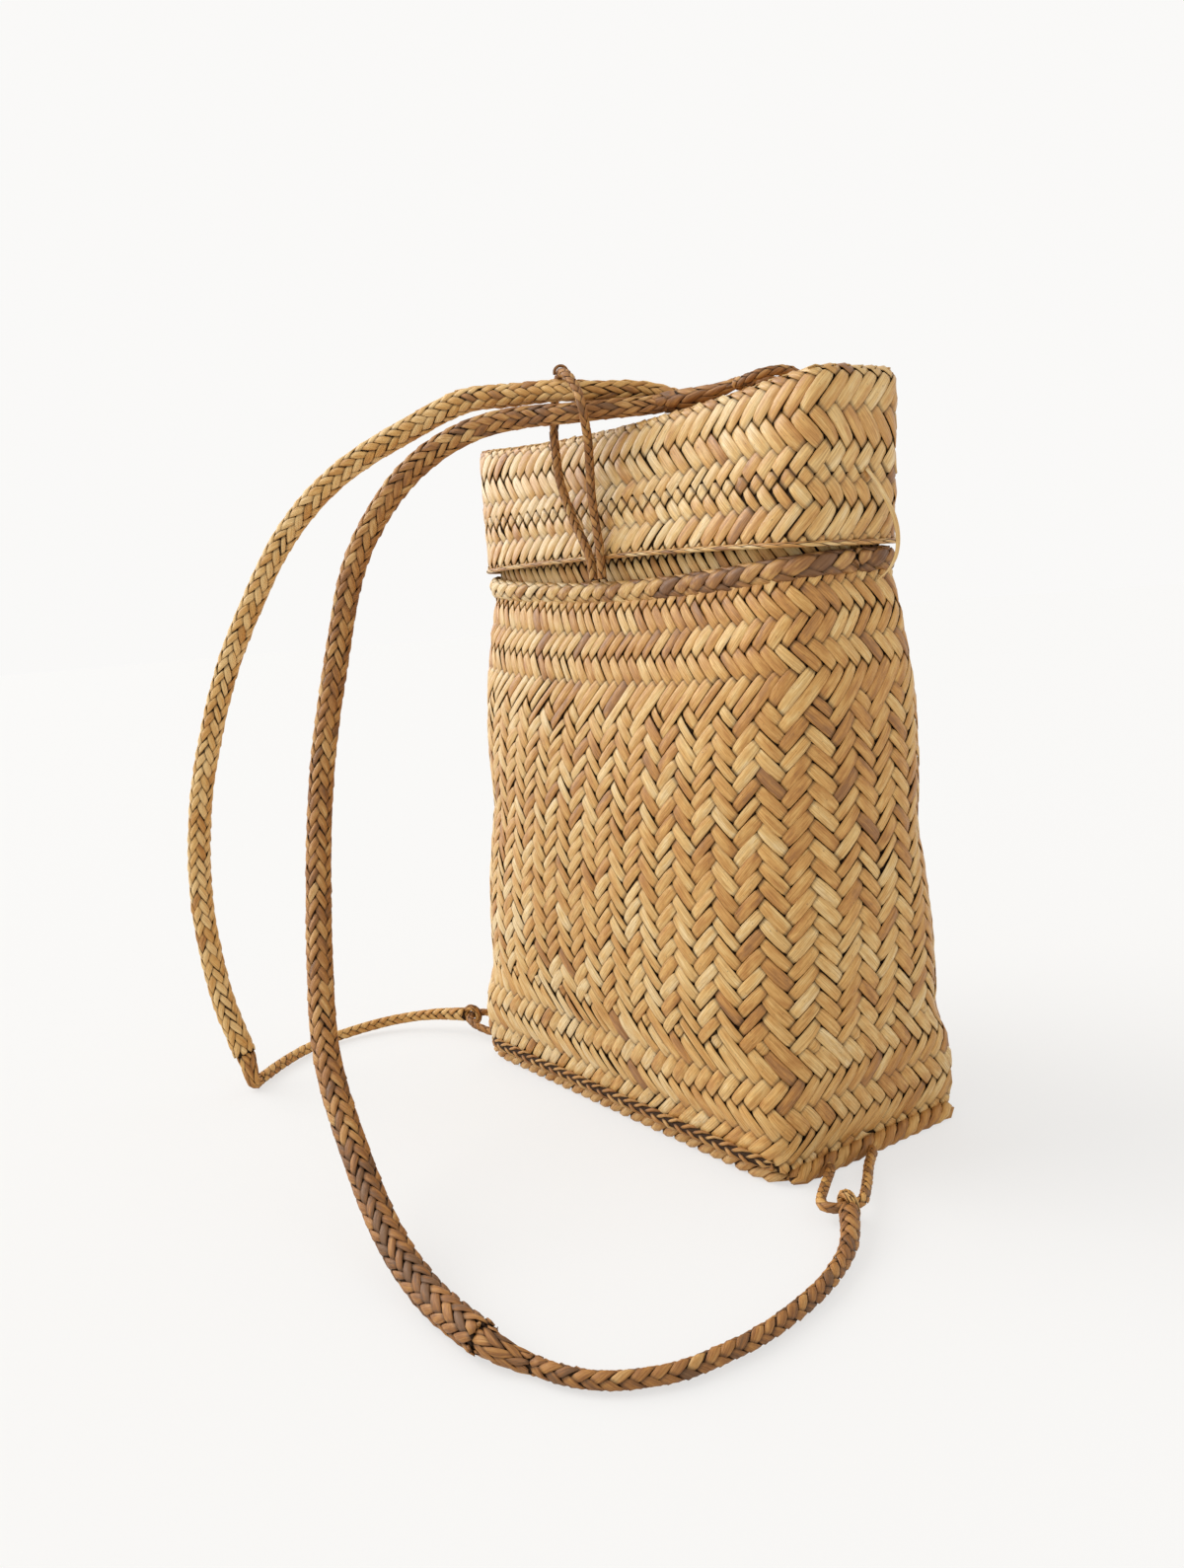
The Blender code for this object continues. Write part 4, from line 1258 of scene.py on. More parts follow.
@dataclass
class Basket:
    """Body wall, neck, base mat, rim braid and base edgings."""

    form: BodyForm
    strips: int = 90
    pitch_up: float = 0.0094
    edge: float = 0.02
    rings: int = 56
    foot: float = 0.0064
    top_margin: float = 0.001
    bottom_rows: int = 5
    column_rows: int = 12
    neck_rings: int = 16
    neck_foot: float = 0.008
    rim_phase: float = math.radians(-35)
    rim_half_high: float = 0.0060
    rim_half_thick: float = 0.0030
    rim_gap: float = 0.0007
    rim_pitch: float = 0.0125
    rim_points: int = 720
    rim_strips: int = 4
    base_margin: float = 0.0061
    base_pitch: float = 0.0093
    base_squareness: float = 40.0
    base_height: float = 0.0002
    rope_radius: float = 0.0040
    rope_out: float = 0.0016
    rope_far_out: float = 0.0030
    corner_tuck: float = 0.0035
    chain_height: float = 0.0108
    chain_radius: float = 0.0036
    chain_short: float = 0.0065
    chain_out: float = 0.0008
    edging_knots: int = 19

    def body_shell(self) -> Shell:
        """Reads the body's outer surface as a lattice.

        Returns:
            The surface, from its foot to the rim braid.
        """
        form = self.form
        grid = form.rings(form.wall_size_at, level(self.foot),
                          lambda x, y: form.rim_height(x, y) - self.top_margin,
                          (self.foot, form.shoulder_height), self.rings)
        return Shell(grid, (surface_steps(grid) + self.foot) / self.pitch_up, self.strips)

    def body_rule(self) -> Rule:
        """Puts level rows at the foot and under the rim, and upright columns between.

        Returns:
            The rule.
        """
        low = self.bottom_rows * FLOAT
        high = low + self.column_rows * FLOAT + 1
        by_row, by_column = rows(FLOAT), columns(FLOAT)

        def rule(i: Array, j: Array, k: Array) -> Array:
            """Whether the rising strip is on top at each crossing."""
            level_rows = by_row(i, j, np.where(k < low, k, k - 1))
            return np.where((k < low) | (k >= high), level_rows, by_column(i, j, k))
        return rule

    def build_wall(self, material: Material) -> None:
        """Plaits the body wall.

        Args:
            material: its finish.
        """
        shell = self.body_shell()
        low, high = 2 * float(shell.heights[0]) + self.edge, 2 * float(shell.heights[-1]) - self.edge
        plait = Plait(shell, self.body_rule(), cell=0.0065, seed=11, bulge=0.0005, lift=0.00065, sink=0.0013)
        # The wall gets painted shade towards +X and towards the top
        lay_strips(plait, "body", material, Body.BASKET, "body_wall", even_spans(self.strips, low, high),
                   backing=(0.0026, low / 2, high / 2), side_shade=0.10, top_shade=0.1)

    def build_neck(self, material: Material) -> None:
        """Plaits the neck collar.

        Args:
            material: its finish.
        """
        form = self.form
        top = form.shoulder_height + form.neck_rise
        grid = form.rings(form.neck_size_at, lambda x, y: form.rim_height(x, y) - self.neck_foot, level(top),
                          (form.shoulder_height - self.neck_foot, top), self.neck_rings)
        shell = Shell(grid, surface_steps(grid) / self.pitch_up, self.strips)
        high = 2 * float(shell.heights[-1])
        plait = Plait(shell, rows(FLOAT, 1), cell=0.006, seed=21, tone=0.42, tone_spread=0.2,
                      sink=0.0012, lift=0.0006, bulge=0.0003, neck=0.5, width_share=0.94)
        lay_strips(plait, "neck", material, Body.BASKET, "neck_collar",
                   even_spans(self.strips, self.edge, high - self.edge),
                   backing=(0.0022, self.edge, high / 2 - self.edge))

    def build_rim(self, material: Material) -> None:
        """Braids the rim round the shoulder.

        Args:
            material: its finish.
        """
        form = self.form
        line = form.ring(form.neck_size_at, form.shoulder_height, form.rim_height,
                         self.rim_gap + self.rim_half_thick, self.rim_points)
        run = np.concatenate([line, line[:1]])
        side = np.gradient(np.concatenate([line[-1:], line, line[:2]]), axis=0)[1:-1]
        outward = np.stack([side[:, 1], -side[:, 0], np.zeros(len(side))], axis=-1)
        outward /= np.linalg.norm(outward, axis=1, keepdims=True)
        length = run_length(run)
        turns = round(length / self.rim_pitch)
        wide, high = np.full(len(run), self.rim_half_thick), np.full(len(run), self.rim_half_high)
        shell = tube_shell(run, wide, high, outward, self.rim_strips, length / turns, phase=self.rim_phase)
        shell.heights = shell.heights / shell.heights[-1] * turns
        plait = Plait(shell, columns(2, 2), cell=0.007, width_share=1.08, thickness=0.0006, lift=0.0005,
                      bulge=0.0005, crown=0.0006, sink=0.0010, seed=31, tone=0.5, tone_spread=0.15, dive=0.34)
        spans = even_spans(self.rim_strips, 0.0, 2.0 * turns)
        made = merge([plait.weave(family, spans) for family in Family])
        # Painted shade: the rim darkens towards its +X end
        item = paint_side_shade(made, 0.42, reach=0.085).build("rim_lobes", material)
        dress(item, Body.BASKET, "rim_braid")

    def build_base(self, material: Material) -> None:
        """Plaits the base mat, whose good side looks down.

        Args:
            material: its finish.
        """
        half_width = self.form.base_width / 2 - self.base_margin
        half_depth = self.form.base_depth / 2 - self.base_margin
        mat = Mat(self.base_pitch, half_width, half_depth, self.base_squareness, level(self.base_height), -1)
        plait = Plait(mat, columns(FLOAT), cell=0.0066, seed=41, sink=0.0013, lift=0.0005, bulge=0.0001,
                      crown=0.0003, tone=0.5)
        lay_strips(plait, "base", material, Body.BASKET, "base_panel")

    def build_edgings(self, dark: Material, golden: Material) -> None:
        """Braids the four base edgings: a rope along each edge and a chain over it on the wide sides.

        Args:
            dark: finish of the wide sides.
            golden: finish of the short sides.
        """
        x = self.form.base_width / 2 - self.rope_radius + self.rope_out
        y = self.form.base_depth / 2 - self.rope_radius + self.rope_out
        far, short = x + self.rope_far_out, y - self.rope_radius / 2
        wide, deep, _ = (float(value) for value in self.form.size_at(np.array(self.chain_height)))
        inward = ((wide / 2 - self.chain_short) / x, (deep / 2 + self.chain_out) / y)
        steps = np.linspace(0, 1, self.edging_knots)[:, None]
        edges = (
            ("back", (-x, -y), (x, -y), dark), ("front", (x, y), (-x, y), dark),
            ("left", (-far, short), (-far, -short), golden), ("right", (far, -short), (far, short), golden))
        for n, (side, start, end, material) in enumerate(edges):
            name = side + "_base_edging"
            chained = material is dark
            slot, tone, pitch = ("dark_edging", 0.26, 0.0100) if chained else ("golden_edging", 0.6, 0.0092)
            line = np.array(start) * (1 - steps) + np.array(end) * steps
            tuck = np.zeros_like(line)
            if chained:
                tuck[[0, -1], 1] = -np.sign(start[1]) * self.corner_tuck
            route = [(*point, self.rope_radius) for point in line + tuck]
            rope = BraidedCord(name + "_rope", route, self.rope_radius, around=3, pitch=pitch, seed=50 + n,
                               width_share=0.9, tone=tone, closed=True, twisted=True)
            dress(rope.build(material), Body.BASKET, name)
            if chained:
                route = [(*point, self.chain_height) for point in line * inward + tuck]
                chain = BraidedCord(name + "_chain", route, self.chain_radius, pitch=0.0104, width_share=0.44,
                                    seed=55 + n, tone=0.30, relief=1.9, closed=True)
                dress(chain.build(material), Body.BASKET, name)


@dataclass
class Lid:
    """The telescoping lid: a plaited wall that runs over a rounded edge to a plaited top."""

    form: BodyForm
    strips: int = 75
    pitch_up: float = 0.0095
    bands: tuple[int, ...] = (1, 3, 2, 3, 3, 3, 2)
    crease: float = 6.5
    edge: float = 0.02
    wide_edge: float = 0.05
    outset: float = 0.0030
    seat: float = 0.3241
    drop: float = 0.0026
    tilt: float = 0.028
    top_tilt: float = 0.020
    height: float = 0.0812
    top_width: float = 0.3200
    top_depth: float = 0.0676
    round_radius: float = 0.0070
    sag: float = 0.0080
    crown: float = 0.0025
    squareness: float = 7.5
    wall_rings: int = 14
    rounding_rings: int = 7
    hem_radius: float = 0.0014
    hem_rise: float = 0.4
    hem_pitch: float = 0.0105
    mat_pitch: float = 0.0094
    mat_reach: float = 0.0035
    mat_sink: float = 0.0010

    def foot_half_width(self) -> float:
        """Half the width of the lower edge."""
        return self.form.shoulder_width / 2 + self.outset

    def middle_edge(self) -> float:
        """Height of the lower edge in the middle of the wide sides."""
        return self.seat - self.tilt * self.foot_half_width() + self.drop

    def edge_height(self, x: Array) -> Array:
        """Height of the lower edge over x."""
        return self.middle_edge() - self.drop * (x / self.foot_half_width()) ** 2 - self.tilt * x

    def top_height(self, x: Array) -> Array:
        """Height of the top edge over x."""
        share = x / (self.top_width / 2)
        return self.middle_edge() + self.height - self.top_tilt * x - self.sag * (1 - share ** 2)

    def wall_shell(self) -> Shell:
        """Reads the lid's outer surface as a lattice.

        Returns:
            The surface, from its lower edge to the inner edge of its rounding.
        """
        grid = []
        for share in np.linspace(0, 1, self.wall_rings):
            width, depth, square = (low * (1 - share) + high * share for low, high in (
                (self.form.shoulder_width + 2 * self.outset, self.top_width),
                (self.form.shoulder_depth + 2 * self.outset, self.top_depth),
                (self.form.shoulder_squareness, self.squareness)))
            flat = outline(width, depth, square, WALL_POINTS)
            low, high = self.edge_height(flat[:, 0]), self.top_height(flat[:, 0]) - self.round_radius
            grid.append(np.column_stack([flat, low + share * (high - low)]))
        for turn in np.linspace(0, math.pi / 2, self.rounding_rings)[1:]:
            inward = self.round_radius * (1 - math.cos(turn))
            width, depth = self.top_width - 2 * inward, self.top_depth - 2 * inward
            flat = outline(width, depth, self.squareness, WALL_POINTS)
            height = self.top_height(flat[:, 0]) - self.round_radius * (1 - math.sin(turn))
            grid.append(np.column_stack([flat, height]))
        grid = np.array(grid)
        return Shell(grid, surface_steps(grid) / self.pitch_up, self.strips)

    def build_wall(self, material: Material) -> None:
        """Plaits the lid's wall.

        Args:
            material: its finish.
        """
        shell = self.wall_shell()
        high = 2 * float(shell.heights[-1])
        plait = Plait(shell, banded_rows(self.bands), cell=0.0065, seed=61, tone=0.31, bulge=0.0006,
                      lift=0.0007, sink=0.0015, creases=(self.crease,))
        # The lid gets painted shade towards +X
        lay_strips(plait, "lid", material, Body.LID, "lid_shell",
                   even_spans(self.strips, self.edge, high - self.wide_edge),
                   backing=(0.0026, self.wide_edge, high / 2 - self.edge), side_shade=0.08)

    def build_hem(self, material: Material) -> None:
        """Rolls the folded lower edge, with its seam on the left.

        Args:
            material: its finish.
        """
        line = self.wall_shell().grid[0][::2]
        line = np.roll(line, len(line) // 2, axis=0)
        run = np.concatenate([line, line[:1]]) + np.array((0, 0, self.hem_rise)) * self.hem_radius
        radii = np.full(len(run), self.hem_radius)
        length = run_length(run)
        cord = BraidedCord("lid_hem_roll", run.tolist(), self.hem_radius, pitch=self.hem_pitch, seed=65,
                           tone=0.48, tone_spread=0.18, relief=0.9)
        shell = tube_shell(run, radii, radii, None, cord.around, length / round(length / self.hem_pitch))
        item = cord.braid_on(shell, self.hem_radius, material, run, radii)
        dress(item, Body.LID, "lid_shell")

    def build_top(self, material: Material) -> None:
        """Plaits the lid's crowned top.

        Args:
            material: its finish.
        """
        half_width = self.top_width / 2 - self.round_radius + self.mat_reach
        half_depth = self.top_depth / 2 - self.round_radius + self.mat_reach

        def height(x: Array, y: Array) -> Array:
            """The top's height over x and y."""
            power = self.squareness
            reach = (np.abs(x / half_width) ** power + np.abs(y / half_depth) ** power) ** (1 / power)
            return self.top_height(x) + self.crown * (1 - np.minimum(reach, 1) ** 2) - self.mat_sink
        mat = Mat(self.mat_pitch, half_width, half_depth, self.squareness, height)
        plait = Plait(mat, columns(FLOAT), cell=0.0066, seed=71, bulge=0.0004, lift=0.0005, sink=0.0012)
        lay_strips(plait, "top", material, Body.LID, "lid_shell")


def tenths(*rows: tuple[int, ...]) -> list[tuple[float, ...]]:
    """Sizes in metres from whole tenths of a millimetre."""
    return [tuple(value / 10000 for value in row) for row in rows]


# Routes of the cords in the CAD model, in tenths of a millimetre. The tails and the binding run 3 to 4 mm
# further here, so that no gap shows at their ends
RIGHT_STRAP_ROUTE = tenths(
    (366, -198, 4026), (300, -234, 4026), (210, -303, 4028), (120, -400, 4030), (40, -500, 4027),
    (-250, -652, 4047), (-520, -825, 4038), (-750, -1010, 3948), (-935, -1190, 3775), (-1060, -1345, 3540),
    (-1130, -1470, 3270), (-1148, -1562, 2971), (-1130, -1655, 2671), (-1090, -1752, 2376),
    (-1018, -1849, 2083), (-915, -1940, 1798), (-787, -2030, 1525), (-636, -2120, 1266),
    (-464, -2212, 1024), (-268, -2300, 801), (-37, -2364, 603), (222, -2412, 432), (487, -2459, 285),
    (770, -2500, 170), (1070, -2525, 97), (1380, -2533, 77), (1620, -2520, 75))
LEFT_STRAP_ROUTE = tenths(
    (366, -84, 4040), (300, -96, 4062), (240, -122, 4092), (150, -198, 4128), (90, -305, 4136),
    (30, -425, 4140), (-230, -558, 4184), (-503, -672, 4205), (-758, -799, 4219), (-990, -933, 4155),
    (-1208, -1077, 4065), (-1417, -1230, 3960), (-1599, -1376, 3824), (-1758, -1513, 3650),
    (-1890, -1634, 3446), (-1996, -1738, 3218), (-2090, -1840, 2983), (-2168, -1933, 2738),
    (-2228, -2013, 2482), (-2272, -2084, 2219), (-2303, -2146, 1952), (-2315, -2191, 1679),
    (-2309, -2222, 1404), (-2283, -2234, 1129), (-2238, -2227, 857), (-2176, -2207, 590),
    (-2093, -2166, 345), (-2052, -2147, 235))
RIGHT_TAIL_ROUTE = tenths(
    (1857, -2440, 45), (1990, -2384, 42), (2110, -2300, 42), (2200, -2180, 42), (2265, -2040, 42),
    (2292, -1880, 42), (2303, -1680, 42), (2278, -1460, 42), (2225, -1230, 43), (2155, -1050, 46),
    (2095, -935, 54), (2033, -848, 66), (1975, -787, 78), (1928, -741, 83), (1904, -718, 84))
LEFT_TAIL_ROUTE = tenths(
    (-2032, -2078, 45), (-2110, -1990, 42), (-2240, -1825, 42), (-2370, -1610, 42), (-2445, -1410, 43),
    (-2462, -1220, 48), (-2385, -925, 74), (-2260, -780, 98), (-2110, -668, 119), (-1952, -581, 131),
    (-1920, -563, 132))
BACK_TIE_ROUTE = tenths(
    (9, -472, 3105), (-5, -470, 3320), (-35, -467, 3490), (-39, -470, 3660), (5, -497, 3825),
    (89, -566, 3924), (131, -612, 4021), (85, -602, 4118), (-12, -590, 4222), (-140, -545, 4266),
    (-250, -490, 4249), (-318, -470, 4190), (-316, -484, 4080), (-280, -524, 3985), (-272, -535, 3930),
    (-300, -510, 3850), (-334, -482, 3744), (-307, -470, 3610), (-242, -469, 3474), (-163, -472, 3354),
    (-97, -475, 3240), (-72, -475, 3105))
FRONT_TIE_ROUTE = tenths(
    (490, 476, 3130), (540, 470, 3280), (620, 453, 3450), (720, 430, 3620), (800, 404, 3780),
    (885, 378, 3900), (960, 312, 3999), (1040, 200, 4015), (1110, 80, 4018), (1135, -30, 4046),
    (1110, -125, 4049), (1040, -180, 4038), (950, -196, 4026), (893, -180, 4024), (875, -138, 4020),
    (900, -94, 4020), (960, -72, 4024), (1025, -30, 4018), (1050, 55, 4019), (1020, 160, 4017),
    (940, 262, 4010), (855, 348, 3968), (780, 388, 3860), (700, 414, 3740), (600, 441, 3560),
    (500, 464, 3380), (440, 476, 3220), (420, 478, 3130))
RIGHT_BASE_LOOP_ROUTE = tenths(
    (1438, -372, 36), (1485, -402, 45), (1550, -480, 55), (1640, -605, 66), (1725, -715, 76),
    (1800, -765, 82), (1855, -735, 84), (1873, -685, 84), (1882, -615, 82), (1850, -550, 77),
    (1780, -460, 70), (1670, -325, 58), (1550, -170, 48), (1490, -94, 42), (1438, -68, 36))
LEFT_BASE_LOOP_ROUTE = tenths(
    (-1443, -380, 36), (-1490, -425, 45), (-1580, -510, 60), (-1690, -565, 80), (-1790, -585, 105),
    (-1868, -556, 126), (-1884, -485, 132), (-1840, -410, 126), (-1750, -310, 108), (-1620, -180, 75),
    (-1510, -100, 50), (-1440, -62, 36))
TETHER_ROUTE = tenths(
    (1558, 20, 3510), (1567, 75, 3450), (1578, 125, 3370), (1590, 170, 3270), (1590, 190, 3160),
    (1575, 185, 3080), (1542, 160, 3015), (1500, 130, 2975))
# The binding's places, with half its width and half its height at each
BINDING_RUN = tenths(
    (285, -165, 4042, 112, 56), (340, -152, 4036, 116, 62), (404, -141, 4030, 102, 56),
    (520, -143, 4026, 86, 48), (660, -142, 4027, 60, 40), (844, -139, 4038, 36, 32),
    (884, -139, 4042, 30, 28))
RIGHT_EYE_PLACE = (0.1873, -0.0685, 0.0084)
RIGHT_EYE_AXIS = (0.22, 0.97, 0.0)
LEFT_EYE_PLACE = (-0.1877, -0.0532, 0.0130)
LEFT_EYE_AXIS = (-0.42, 0.90, 0.08)
KNOT_PLACE = (-0.0140, -0.0545, 0.4266)
KNOT_AXIS = (-0.22, 0.09, 0.03)


@dataclass
class Straps:
    """Shoulder straps, their splices and tails, tie loops, base loops, binding, eyes, knot and tether."""

    strap_radius: float = 0.0072
    strap_tip_radius: float = 0.0048
    # Painted shade on the straps towards +X, as a change of tone
    strap_side_shade: float = 0.22
    strap_strips: int = 8
    strap_pitch: float = 0.0092
    strap_relief: float = 0.7
    splice_reach: float = 0.3
    splice_darkening: float = 0.16
    tail_radius: float = 0.00375
    tail_end_radius: float = 0.0050
    tail_pitch: float = 0.0072
    loop_radius: float = 0.0026
    loop_pitch: float = 0.0062
    binding_radius: float = 0.0075
    binding_strips: int = 6
    binding_pitch: float = 0.014
    binding_rounding: float = 0.003
    eye_radius: float = 0.0058
    eye_tube_radius: float = 0.0024
    eye_gap: float = 0.05
    knot_radius: float = 0.0038
    knot_tube_radius: float = 0.0009
    knot_pitch: float = 0.004
    knot_reach: float = math.radians(105)
    flat_step: float = 0.002
    tether_half_width: float = 0.0012
    tether_belly: float = 0.0006
    tether_half_thick: float = 0.0005
    tether_strips: int = 8
    strap_bend: Stretch = (0.20, 0.40)
    tie_bend: Stretch = (0.31, 0.40)
    tether_bend: Stretch = (0.305, 0.345)

    def declare(self, item: Item, cord: BraidedCord) -> None:
        """Logs the length of a braid's run.

        Args:
            item: not used.
            cord: its braid.
        """
        run = cord.run()
        LOG.info("%s is %.0f mm long", cord.name, 1000 * run_length(run))

    def bend_with_lid(self, item: Item, node: str, stretch: Stretch) -> None:
        """Lets a piece bend between the basket and the lid.

        Args:
            item: the piece.
            node: the CAD node that it stands for.
            stretch: the heights between which it bends.
        """
        low, high = stretch
        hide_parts(node)
        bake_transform(item, Body.BASKET.value, Body.LID.value, start=(0, 0, low), end=(0, 0, high))
        LOG.info("%s: %d faces", item.name, len(item.data.polygons))

    def build_straps(self, dark: Material, golden: Material) -> None:
        """Braids both straps with their splices and tails.

        Args:
            dark: finish of the right strap.
            golden: finish of the left strap.
        """
        look = {"around": self.strap_strips, "pitch": self.strap_pitch, "relief": self.strap_relief}
        sides = (("right", RIGHT_STRAP_ROUTE, RIGHT_TAIL_ROUTE, dark, "dark_braid", 0.54),
                 ("left", LEFT_STRAP_ROUTE, LEFT_TAIL_ROUTE, golden, "golden_braid", 0.38))
        for n, (side, route, tail_route, material, slot, tone) in enumerate(sides):
            strap = BraidedCord(side + "_strap_braid", route, self.strap_radius, seed=80 + n, tone=tone,
                                tip_radius=self.strap_tip_radius, tone_spread=0.17, side_shade=self.strap_side_shade,
                                **look)
            strap_item = strap.build(material)
            self.bend_with_lid(strap_item, side + "_strap", self.strap_bend)
            tail = BraidedCord(side + "_tail_braid", tail_route, self.tail_radius, pitch=self.tail_pitch,
                               end_radius=self.tail_end_radius, seed=90 + n, tone=tone)
            item = tail.build(material)
            dress(item, Body.BASKET, side + "_strap_tail")
            self.declare(item, tail)
            before, start = strap.run()[-2:]
            end, after = tail.run()[:2]
            leave, enter = (step / np.linalg.norm(step) for step in (start - before, after - end))
            reach = self.splice_reach * np.linalg.norm(end - start)
            between = [tuple(place) for place in (start, start + reach * leave, end - reach * enter, end)]
            splice = BraidedCord(side + "_splice_braid", between, self.strap_radius, seed=95 + n,
                                 end_radius=self.tail_radius, tone=tone + self.splice_darkening, **look)
            item = splice.build(material)
            dress(item, Body.BASKET, side + "_splice")
            self.declare(strap_item, strap)

    def build_loops(self, dark: Material, golden: Material) -> None:
        """Braids the tie loops and base loops.

        Args:
            dark: finish of the tie loops.
            golden: finish of the base loops.
        """
        loops = (("back_tie_loop", BACK_TIE_ROUTE, dark, 100), ("front_tie_loop", FRONT_TIE_ROUTE, dark, 101),
                 ("right_base_loop", RIGHT_BASE_LOOP_ROUTE, golden, 110),
                 ("left_base_loop", LEFT_BASE_LOOP_ROUTE, golden, 111))
        for name, route, material, seed in loops:
            ties = material is dark
            cord = BraidedCord(name + "_braid", route, self.loop_radius, pitch=self.loop_pitch, seed=seed,
                               tone=0.55 if ties else 0.7)
            item = cord.build(material)
            if ties:
                self.bend_with_lid(item, name, self.tie_bend)
            else:
                dress(item, Body.BASKET, name)
            self.declare(item, cord)

    def build_binding(self, dark: Material) -> None:
        """Binds both straps together on top of the lid.

        Args:
            dark: its finish.
        """
        *place, half_widths, half_heights = zip(*BINDING_RUN)
        places = list(zip(*place))
        run = smooth_run(places, self.flat_step)
        way = np.linspace(0, 1, len(run))
        own = np.linspace(0, 1, len(BINDING_RUN))
        closing = round_ends(way * run_length(run), self.binding_rounding, start=False)
        wide, high = (np.interp(way, own, sizes) * closing for sizes in (half_widths, half_heights))
        side = np.tile(np.array((0.0, 1.0, 0.0)), (len(run), 1))
        shell = tube_shell(run, wide, high, side, self.binding_strips, self.binding_pitch)
        cord = BraidedCord("strap_binding_braid", places, self.binding_radius, seed=120, tone=0.62,
                           around=self.binding_strips, pitch=self.binding_pitch, relief=0.6)
        item = cord.braid_on(shell, self.binding_radius, dark, run, np.minimum(wide, high))
        self.bend_with_lid(item, "strap_binding", self.strap_bend)

    def ring_route(self, place: Point, axis: Point, radius: float, start: float, end: float,
                   count: int) -> list[Point]:
        """Finds points on a round turn about an axis.

        Args:
            place: its middle.
            axis: direction of its axis.
            radius: its radius.
            start: angle of the first point, counted from its top.
            end: angle of the last point.
            count: number of points.

        Returns:
            The points.
        """
        along = Vector(axis).normalized()
        side = along.cross(Vector((0, 0, 1))).normalized()
        up = side.cross(along)
        return [tuple(Vector(place) + radius * (side * math.sin(turn) + up * math.cos(turn)))
                for turn in np.linspace(start, end, count)]

    def build_rounds(self, dark: Material, golden: Material) -> None:
        """Makes the tail eyes and the knot.

        Args:
            dark: finish of the knot.
            golden: finish of the eyes.
        """
        eyes = (("right_tail_eye", RIGHT_EYE_PLACE, RIGHT_EYE_AXIS),
                ("left_tail_eye", LEFT_EYE_PLACE, LEFT_EYE_AXIS))
        for n, (name, place, axis) in enumerate(eyes):
            route = self.ring_route(place, axis, self.eye_radius, -math.pi, math.pi - self.eye_gap, 17)
            cord = BraidedCord(name + "_turn", route, self.eye_tube_radius, seed=130 + n, tone=0.6)
            dress(cord.build(golden), Body.BASKET, name)
        route = self.ring_route(KNOT_PLACE, KNOT_AXIS, self.knot_radius, -self.knot_reach, self.knot_reach, 9)
        cord = BraidedCord("back_tie_knot_turn", route, self.knot_tube_radius, pitch=self.knot_pitch,
                           seed=140, tone=0.7)
        self.bend_with_lid(cord.build(dark), "back_tie_knot", self.tie_bend)

    def build_tether(self, material: Material) -> None:
        """Makes the flat leaf strip that ties the lid to the body.

        Args:
            material: its finish.
        """
        run = smooth_run(TETHER_ROUTE, self.flat_step)
        side = np.tile(np.array((0.0, 1.0, 0.35)), (len(run), 1))
        wide = self.tether_half_width + self.tether_belly * np.sin(np.linspace(0, math.pi, len(run)))
        thick = np.full(len(run), self.tether_half_thick)
        shell = tube_shell(run, wide, thick, side, self.tether_strips, 1.0)
        rings = shell.grid[:, ::CORD_POINTS // self.tether_strips]
        count, sides = rings.shape[:2]
        along, across = np.linspace(0, run_length(run), count), np.abs(np.linspace(-1, 1, sides))
        plan = np.meshgrid(along, across, indexing="ij")
        made = MeshParts.empty()
        made.add_tube(rings, 0.3, 1.0, np.stack(plan, axis=-1).reshape(-1, 2), 0.5)
        self.bend_with_lid(made.build("tether_strip", material), "lid_tether", self.tether_bend)


